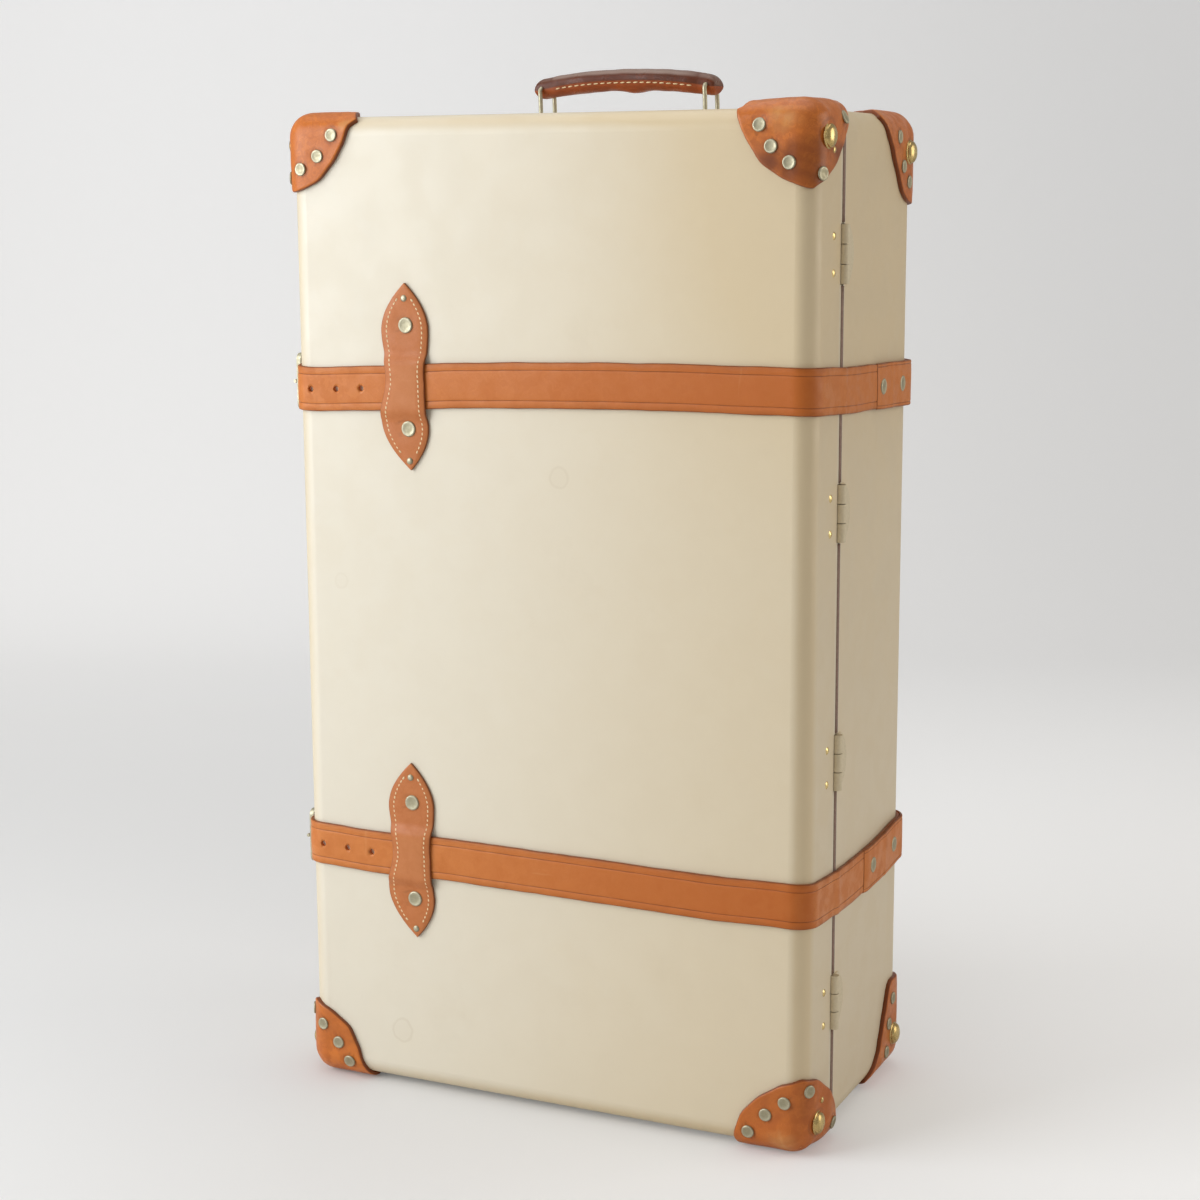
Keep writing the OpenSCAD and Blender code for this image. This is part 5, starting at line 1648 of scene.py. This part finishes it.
    def heads(self, body: Body) -> None:
        """Builds all rivets, studs and nails of one body's corners, standing along the leather's normals.

        Args:
            body: The body whose corners have the heads.
        """
        rivets, studs = MeshParts(f"{body.value}_corner_heads"), MeshParts(f"{body.value}_corner_studs")
        rivet = rivet_profile(self.rivet, self.rivet_height)
        stud, nail = stud_profile(self.stud, self.stud_height), dome_profile(self.nail, self.nail_height)
        for place in CORNERS:
            if place.body is not body:
                continue
            spots = [(np.array([a, 0.0, c]), rivet, rivets) for a, c in place.cut.front_heads]
            spots += [(np.array([0.0, b, c]), rivet, rivets) for c, b in place.cut.side_heads]
            for spot, profile in ((place.cut.stud, stud), (place.cut.nail, nail)):
                if spot:
                    spots.append((np.array([0.0, spot[1], spot[0]]), profile, studs))
            for flat, profile, parts in spots:
                stand = float(self.loose(place, flat, 0.95))
                foot, normal = self.wrap(flat, self.thick - self.sunk + max(stand, 0.0), place)
                parts.turned(profile, foot, normal)
        for parts, slot, material, node in (
            (rivets, "nickel", FINISH.nickel, f"{body.value}_corner_rivets"),
            (studs, "brass", FINISH.brass, f"{body.value}_studs"),
        ):
            piece = parts.build(5e-6)
            seat(piece, body, slot, material, node)

    def make(self) -> None:
        """Builds every corner and its heads."""
        for place in CORNERS:
            seat(self.skin(place), place.body, "corner_leather", FINISH.corner, place.name)
        for body in (Body.LID, Body.BASE):
            self.heads(body)


@dataclass
class Tabs:
    """The four stitched leather tabs that hold the straps, with their rivets and nails.

    The outline is an hour-glass with pointed ends, and it leans a little, as it was measured on the photograph.
    The two offsets of each pair of heads, across and up, are for the lower one and the upper one.
    """

    case: CaseSizes = CASE
    height: float = 141.0
    thick: float = 2.2
    bridge: float = 3.35
    rises: tuple[float, float] = CASE.tab_rise
    stitch_in: float = 5.0
    rivet: float = 6.1
    nail: float = 2.6
    rivet_height: float = 1.2
    rivet_at: float = 39.0
    rivet_offsets: tuple[tuple[float, float], ...] = ((3.0, 0.0), (1.4, 0.0))
    nail_height: float = 1.4
    nail_at: float = 60.5
    nail_offsets: tuple[tuple[float, float], ...] = ((0.2, -3.0), (0.0, -1.4))
    back_extra: float = 0.35
    lower_shift: float = 2.6
    patch_rivet: float = 6.2
    patch_foot: float = 1.6

    def half(self, v: Array) -> Array:
        """Half width at height v: a waist at the strap, a bulge either side and arcs to the points."""
        t = np.abs(v) / (self.height / 2)
        waist = 16.6 + 3.6 * ease(t / 0.5)
        point = 20.2 * (1.0 - np.clip((t - 0.5) / 0.5, 0, 1) ** 1.9)
        return np.maximum(np.where(t < 0.5, waist, point), 0.02)

    def lean(self, v: Array) -> Array:
        """Sideways place of the middle at height v, from the measured bulges and points."""
        return np.interp(v, [-70.5, -31.0, -5.0, 33.0, 70.5], [0.7, -4.6, -1.6, -3.0, -2.4])

    def under(self, v: Array, rise: float, front: bool) -> Array:
        """Height of the underside at height v: it bridges the strap and comes down over 9 mm on both sides."""
        away = np.abs(v + rise) - self.case.strap_width / 2
        bridge = self.bridge if front else self.bridge + self.back_extra
        return bridge * (1.0 - ease((away - 0.6) / 9.0))

    def over(self, v: Array, rise: float) -> Array:
        """How far height v lies over the strap: 1 at its middle and 0 beside it."""
        return 1.0 - ease((np.abs(v + rise) - 12.0) / 14.0)

    def surface(self, v: Array, u: Array, q: Array, z: float, front: bool) -> Array:
        """Points of the lid face or the back, from height v, place across u and height over the board q."""
        x = self.case.tab_x + self.lean(v) + u - self.lower_shift * (z < self.case.high / 2)
        y = self.case.front - q if front else self.case.back + q
        return np.stack(np.broadcast_arrays(x, y, z + v), axis=-1)

    def leather(self, name: str, z: float, rise: float, front: bool, seed: float) -> Piece:
        """Builds one tab as a closed skin: rows go up the tab and columns round its section.

        Args:
            name: Name of the piece.
            z: Height of the tab's middle.
            rise: How far that is above the strap's middle.
            front: On the lid face, and otherwise on the back.
            seed: Chooses the swellings.

        Returns:
            The tab.
        """
        ends = 1.0 - np.cos(np.linspace(0.0, math.pi / 2, 9)[:-1]) ** 0.6
        v = np.concatenate([-70.5 + 6.0 * ends, np.linspace(-64.5, 64.5, 66), (70.5 - 6.0 * ends)[::-1]])
        half = self.half(v)
        across, height, mask = strip_section(19.6, self.thick, 0.0)
        u = across[None, :] * (half / 19.6)[:, None]
        q = self.under(v, rise, front)[:, None] + height[None, :] + 0.03
        top = height[None, :] > 1.0
        puff = 0.55 * (1.0 - (u / np.maximum(half, 1.0)[:, None]) ** 2) * top
        over = self.over(v, rise)[:, None]
        q = q + puff * (0.25 + 0.75 * over)
        seam = np.abs(np.abs(u) - (half - self.stitch_in)[:, None])
        q = q - 0.45 * np.exp(-(seam / 0.8) ** 2) * top
        rim = np.clip(mask[None, :] - 0.1, 0.0, 1.0) + 0.16 * np.exp(-(seam / 1.2) ** 2)
        for s in (-1, 1):
            away = np.hypot(u, (v - s * self.rivet_at)[:, None])
            q = q - 0.35 * np.exp(-(away / 9.0) ** 2) * top
            rim = rim + 0.45 * np.exp(-((away - 6.6) / 1.2) ** 2)
        q = q + 0.14 * dapple(np.stack(np.broadcast_arrays(u, v[:, None], 0 * u), -1), seed, 24.0) * top
        points = self.surface(v[:, None], u, q, z, front)
        rub = 0.3 * over * (np.abs(u) < half[:, None] * 0.66) * top
        parts = MeshParts(name)
        parts.grid(points, closed_v=True, mask=np.clip(rim, 0, 1) - rub * (rim < 0.2), flip=front)
        return parts.build(1e-5)

    def seams(self, parts: MeshParts, z: float, rise: float, front: bool) -> None:
        """Adds the row of stitches inside both long edges of one tab.

        Args:
            parts: Where the stitches go.
            z: Height of the tab's middle.
            rise: How far that is above the strap's middle.
            front: On the lid face, and otherwise on the back.
        """
        v = np.linspace(-58.0, 58.0, 160)
        outward = np.array([0.0, -1.0 if front else 1.0, 0.0])
        for s in (-1, 1):
            u = s * (self.half(v) - self.stitch_in)
            lift = 0.55 * (1 - (u / self.half(v)) ** 2) * (0.25 + 0.75 * self.over(v, rise)) - 0.28
            q = self.under(v, rise, front) + self.thick + 0.03 + lift
            path = self.surface(v, u, q, z, front)
            stitches(parts, path, np.broadcast_to(outward, path.shape), 3.7, 0.78)

    def heads(self, parts: MeshParts, z: float, rise: float, front: bool) -> None:
        """Adds the two rivets and the two nails of one tab, each off its even place as measured.

        Args:
            parts: Where the heads go.
            z: Height of the tab's middle.
            rise: How far that is above the strap's middle.
            front: On the lid face, and otherwise on the back.
        """
        outward = np.array([0.0, -1.0 if front else 1.0, 0.0])
        for at, profile, offsets in (
            (self.rivet_at, rivet_profile(self.rivet, self.rivet_height), self.rivet_offsets),
            (self.nail_at, dome_profile(self.nail, self.nail_height), self.nail_offsets),
        ):
            for s, (across, up) in zip((-1, 1), offsets):
                v = np.array([s * at])
                q = self.under(v, rise, front) + self.thick
                foot = self.surface(v + up, np.array([across]), q, z, front)[0]
                parts.turned(profile, foot, outward)

    def make(self) -> None:
        """Builds the four tabs, their stitches and their heads."""
        front_heads, thread = MeshParts("tab_heads"), {}
        for body, front in ((Body.LID, True), (Body.BASE, False)):
            thread[body] = MeshParts(f"{body.value}_tab_stitches")
            for i, (word, run) in enumerate((("upper", UPPER_RUN), ("lower", LOWER_RUN))):
                z = self.case.strap_heights[i] + self.rises[i]
                node = f"tab_{word}" if front else f"back_tab_{word}"
                tab = self.leather("stitched_" + node, z, self.rises[i], front, 3.0 * i + 1.2 + 5 * front)
                seat(tab, body, "dark_leather", FINISH.tab, node)
                self.seams(thread[body], z, self.rises[i], front)
                if front:
                    self.heads(front_heads, z, self.rises[i], front)
                else:
                    heads = MeshParts(f"strap_{word}_head_set")
                    self.heads(heads, z, self.rises[i], front)
                    self.patch_heads(heads, run)
                    piece = heads.build(5e-6)
                    seat(piece, Body.BASE, "nickel", FINISH.nickel, f"strap_{word}_heads")
            piece = thread[body].build(1e-6)
            seat(piece, body, "dark_leather", FINISH.thread)
        piece = front_heads.build(5e-6)
        seat(piece, Body.LID, "nickel", FINISH.nickel, "tab_rivets")

    def patch_heads(self, parts: MeshParts, run: StrapRun) -> None:
        """Adds the two rivets of a strap's doubled end, along the leather's normals.

        Args:
            parts: Where the heads go.
            run: Which strap, and how it lies.
        """
        off = self.case.strap_gap + self.case.strap_thickness + self.patch_foot
        profile = rivet_profile(self.patch_rivet, self.rivet_height)
        for y, z in run.heads:
            foot, normal = PATH.at(np.array([hinge_side(y)]), np.array([off]))
            parts.turned(profile, np.array([*foot[0], z]), np.array([*normal[0], 0.0]))


@dataclass
class SeamBand:
    """The dark strip in the seam, which the base carries and which stands a little proud of the board.

    It stops at the hinges, the locks and the buckles.
    """

    case: CaseSizes = CASE
    hinges: tuple[float, ...] = (105.0, 291.0, 477.0, 663.0)
    hinge_half: float = 22.5
    lock_ends: tuple[float, float] = (168.0, 590.0)
    lock_span: tuple[float, float] = (290.0, 478.0)

    def strip(self, parts: MeshParts, path: Array, way: Array) -> None:
        """Adds one length: the section, given by depth past the seam and height over the board, along the path.

        Args:
            parts: Where the surface goes.
            path: Points of the board's outline, with x and z.
            way: Outward unit vector at each.
        """
        section = np.array([
            (-2.2, -2.4), (-2.2, 0.3), (-1.8, 0.7), (0.0, 0.85), (1.9, 0.8),
            (2.6, 0.5), (2.8, 0.02), (1.45, 0.01), (1.45, -2.4),
        ])
        middle = section.mean(0)
        pinch = np.concatenate([[0.0, 1.0], np.ones(len(path) - 2), [1.0, 0.0]])
        path, way = np.concatenate([path[:1], path, path[-1:]]), np.concatenate([way[:1], way, way[-1:]])
        shape = middle + (section - middle)[None] * pinch[:, None, None]
        flat = path[:, None] + shape[..., 1:] * way[:, None]
        points = np.stack([flat[..., 0], self.case.seam + shape[..., 0], flat[..., 1]], -1)
        parts.grid(points, closed_v=True, flip=True)

    def bend(self, x: float, z: float, start: float) -> tuple[Array, Array]:
        """A quarter turn of the case's rounded outline round (x, z), clockwise from the angle start in degrees."""
        turn = np.radians(start - np.linspace(0.0, 90.0, 13))
        way = np.stack([np.cos(turn), np.sin(turn)], -1)
        return np.array([x, z]) + self.case.edge_radius * way, way

    def make(self) -> None:
        """Builds the lengths over both ends and the straight ones between, and seats them on the base."""
        case, r = self.case, self.case.edge_radius
        w, low, high = case.half_width, case.low, case.high
        parts = MeshParts("seam_band")
        for sign, near, far in (
            (1, self.hinges[-1] + self.hinge_half, self.lock_ends[1]),
            (-1, self.hinges[0] - self.hinge_half, self.lock_ends[0]),
        ):
            first, first_way = self.bend(-w + r, high - r, 180.0)
            second, second_way = self.bend(w - r, high - r, 90.0)
            path = np.concatenate([[[-w, far]], first, second, [[w, near]]])
            way = np.concatenate([[[-1.0, 0.0]], first_way, second_way, [[1.0, 0.0]]])
            if sign < 0:
                path[1:-1, 1] = low + high - path[1:-1, 1]
                way[:, 1] = -way[:, 1]
                path, way = path[::-1], way[::-1]
            self.strip(parts, path, way)
        for below, above in zip(self.hinges[:-1], self.hinges[1:]):
            z = np.linspace(above - self.hinge_half, below + self.hinge_half, 8)
            self.strip(parts, np.stack([np.full(8, w), z], -1), np.tile([1.0, 0.0], (8, 1)))
        z = np.linspace(*self.lock_span, 8)
        self.strip(parts, np.stack([np.full(8, -w), z], -1), np.tile([-1.0, 0.0], (8, 1)))
        piece = parts.build(1e-6)
        seat(piece, Body.BASE, "lip_board", FINISH.band)


@dataclass
class Handle:
    """A padded leather grip on two wire loops.

    In its own frame u runs along the grip, v across it and w outward from the case.
    """

    name: str
    origin: tuple[float, float, float]
    along: tuple[float, float, float]
    across: tuple[float, float, float]
    outward: tuple[float, float, float]
    seed: float
    span: float = 140.0
    bar: float = 24.0
    rise: float = 5.4
    half_width: float = 12.6
    half_height: float = 8.2
    end_reach: float = 6.8
    wire: float = 1.7
    loop_width: float = 25.0
    neck_width: float = 10.15
    neck_height: float = 7.9
    groove: float = 0.30
    under_power: float = 0.74

    def put(self, local: Array) -> Array:
        """Turns points of the handle's frame into points of the case's frame."""
        frame_axes = np.array([self.along, self.across, self.outward], float)
        return np.array(self.origin) + local @ frame_axes

    def middle(self, u: Array) -> Array:
        """Height of the grip's middle line: an even arch that is a little fuller in its crown."""
        t = np.clip(np.abs(u) / (self.span / 2), 0.0, 1.15)
        return self.bar + self.rise * (1.0 - t ** 2.2)

    def section(self, turn: Array) -> tuple[Array, Array]:
        """The grip's section at angle turn, as parts of its half width and half height.

        The top is full and flattened, the sides bulge, and below the seam line the lip draws in.

        Args:
            turn: Angles round the grip.

        Returns:
            Parts of the half width and of the half height.
        """
        c, s = np.cos(turn), np.sin(turn)
        v = np.sign(c) * np.abs(c) ** 0.72
        w = np.where(s > 0, np.abs(s) ** 0.80, -np.abs(s) ** self.under_power)
        v = v * (1.0 - 0.17 * ease((-w - 0.25) / 0.75))
        return v, w

    def half_at(self, u: Array) -> tuple[Array, Array]:
        """Half of the grip's width at u, with its shallow waves, and how far the neck at the wire has begun."""
        neck = ease((np.abs(u) - (self.span / 2 - 17.0)) / 12.0)
        return self.half_width * (1 - 0.035 * np.cos(u / 9.0)) * (1 - neck) + self.neck_width * neck, neck

    def grip(self) -> Piece:
        """Builds the grip: sections carried along the arch, drawn in at both ends where they wrap the bars.

        A shallow groove on both sides takes the stitches, and a keel under the middle covers the join.
        """
        half = self.span / 2
        t = np.linspace(0.0, 1.0, 12)
        cap = half + self.end_reach * np.sin(t * math.pi / 2)
        shut = np.cos(t * math.pi / 2) ** 0.62
        u = np.concatenate([-cap[::-1], np.linspace(-half, half, 91)[1:-1], cap])
        closing = np.concatenate([shut[::-1], np.ones(89), shut])
        turn = np.linspace(0, 2 * math.pi, 56, endpoint=False)
        v_part, w_part = self.section(turn)
        half_width, neck = self.half_at(u)
        half_height = (self.half_height * (1 - neck) + self.neck_height * neck) * closing
        half_width = half_width * np.where(closing < 1, 0.86 + 0.14 * closing, 1.0)
        half_width = np.where(closing < 0.02, half_width * 0.9, half_width)
        v = v_part[None, :] * half_width[:, None]
        w = w_part[None, :] * half_height[:, None]
        groove = np.exp(-((w_part + self.groove) / 0.075) ** 2)
        v = v - np.sign(v_part)[None, :] * (0.75 * groove)[None, :] * (1 - neck)[:, None]
        keel = np.exp(-((u - 7.0) / 9.0) ** 2)[:, None] * np.clip(-w_part, 0, 1)[None, :] ** 2
        w = w - 2.3 * keel
        v = v * (1 - 0.12 * keel)
        place = np.stack(np.broadcast_arrays(u[:, None], v, w), -1)
        soft = 0.32 * dapple(place, self.seed, 40.0) + 0.10 * dapple(place, self.seed + 3, 11.0)
        w = w + soft * np.sign(w) * (np.abs(w_part)[None, :] > 0.2)
        wrap = 0.35 * np.exp(-((np.abs(u) - (half - 8.0)) / 1.3) ** 2)[:, None]
        v, w = v * (1 - 0.02 * wrap), w * (1 - 0.04 * wrap)
        height = self.middle(u)[:, None] + w
        local = np.stack(np.broadcast_arrays(u[:, None], v, height), -1)
        # The grip's top is painted pale: partly wear, partly a painted sheen where the overhead light falls on it.
        outer = 0.95 * ease((w_part - 0.36) / 0.36)[None, :] * (1 - 0.5 * neck)[:, None]
        worn = outer * (0.75 + 0.35 * dapple(place, 2.0, 50.0))
        # Darker along the stitch groove and where the leather wraps the bars.
        groove_dark = np.exp(-((w_part + self.groove) / 0.12) ** 2)[None, :]
        dark = 0.45 * groove_dark * (1 - neck)[:, None] + 0.5 * wrap
        parts = MeshParts(f"{self.name}_leather")
        lay = np.stack(np.broadcast_arrays(u[:, None] * MM, np.broadcast_to(w_part[None, :], w.shape)), -1)
        parts.grid(self.put(local), closed_v=True, coords=lay, mask=np.clip(dark, 0, 1) - worn)
        return parts.build(1e-5)

    def seam(self) -> Piece:
        """Builds the stitches in the grooves along both sides of the grip."""
        parts = MeshParts(f"{self.name}_stitches")
        u = np.linspace(-self.span / 2 + 12.0, self.span / 2 - 12.0, 120)
        half_width, neck = self.half_at(u)
        low = math.asin(-self.groove ** (1 / self.under_power))
        for s in (-1.0, 1.0):
            v_part, w_part = self.section(np.array([low if s > 0 else math.pi - low]))
            v = v_part[0] * half_width - s * 0.62 * (1 - neck)
            w = self.middle(u) + w_part[0] * self.half_height
            path = self.put(np.stack([u, v, w], -1))
            out = np.broadcast_to(np.array(self.across) * s, path.shape)
            stitches(parts, path, out, 5.6, 0.6)
        return parts.build(1e-6)

    def loops(self) -> Piece:
        """Builds the two wire loops: legs out of the case and a bar between them, with rounded bends.

        The path runs up one leg, through a quarter circle, along the bar, and down again.
        """
        parts = MeshParts(f"{self.name}_wire_loops")
        bend, half = 3.4, self.loop_width / 2
        turn = np.linspace(0.0, math.pi / 2, 9)
        corner = np.stack([-half + bend - bend * np.cos(turn), self.bar - bend + bend * np.sin(turn)], -1)
        leg = np.stack([np.full(9, -half), np.linspace(-1.5, self.bar - bend - 0.6, 9)], -1)
        one = np.concatenate([leg, corner])
        other = one[::-1] * [-1, 1]
        path = np.concatenate([one, other])
        for s in (-1, 1):
            local = np.concatenate([np.full((len(path), 1), s * self.span / 2), path], 1)
            local[:, 0] += 0.35 * np.sin(path[:, 1] / 7.0 + self.seed)
            parts.tube(self.put(local), self.wire)
        return parts.build(1e-6)

    def make(self) -> None:
        """Builds the grip, its stitches and the loops."""
        seat(self.grip(), Body.BASE, "dark_leather", FINISH.grip, f"{self.name}_grip")
        seat(self.seam(), Body.BASE, "dark_leather", FINISH.thread)
        seat(self.loops(), Body.BASE, "nickel", FINISH.nickel, f"{self.name}_loops")


HANDLES = (
    Handle("end_handle", (0.0, 47.5, CASE.high), (1, 0, 0), (0, 1, 0), (0, 0, 1), 0.8),
    Handle(
        "side_handle", (-CASE.half_width, 37.0, (CASE.low + CASE.high) / 2), (0, 0, 1), (0, 1, 0), (-1, 0, 0), 5.6
    ),
)


def main() -> None:
    """Builds the studio and the pieces in order."""
    logging.basicConfig(level=logging.INFO, format="%(message)s")
    PhotoView().make()
    Studio().make()
    PackedNodes().dress()
    Straps().make()
    Corners().make()
    Tabs().make()
    SeamBand().make()
    for handle in HANDLES:
        handle.make()


if __name__ == "__main__":
    main()
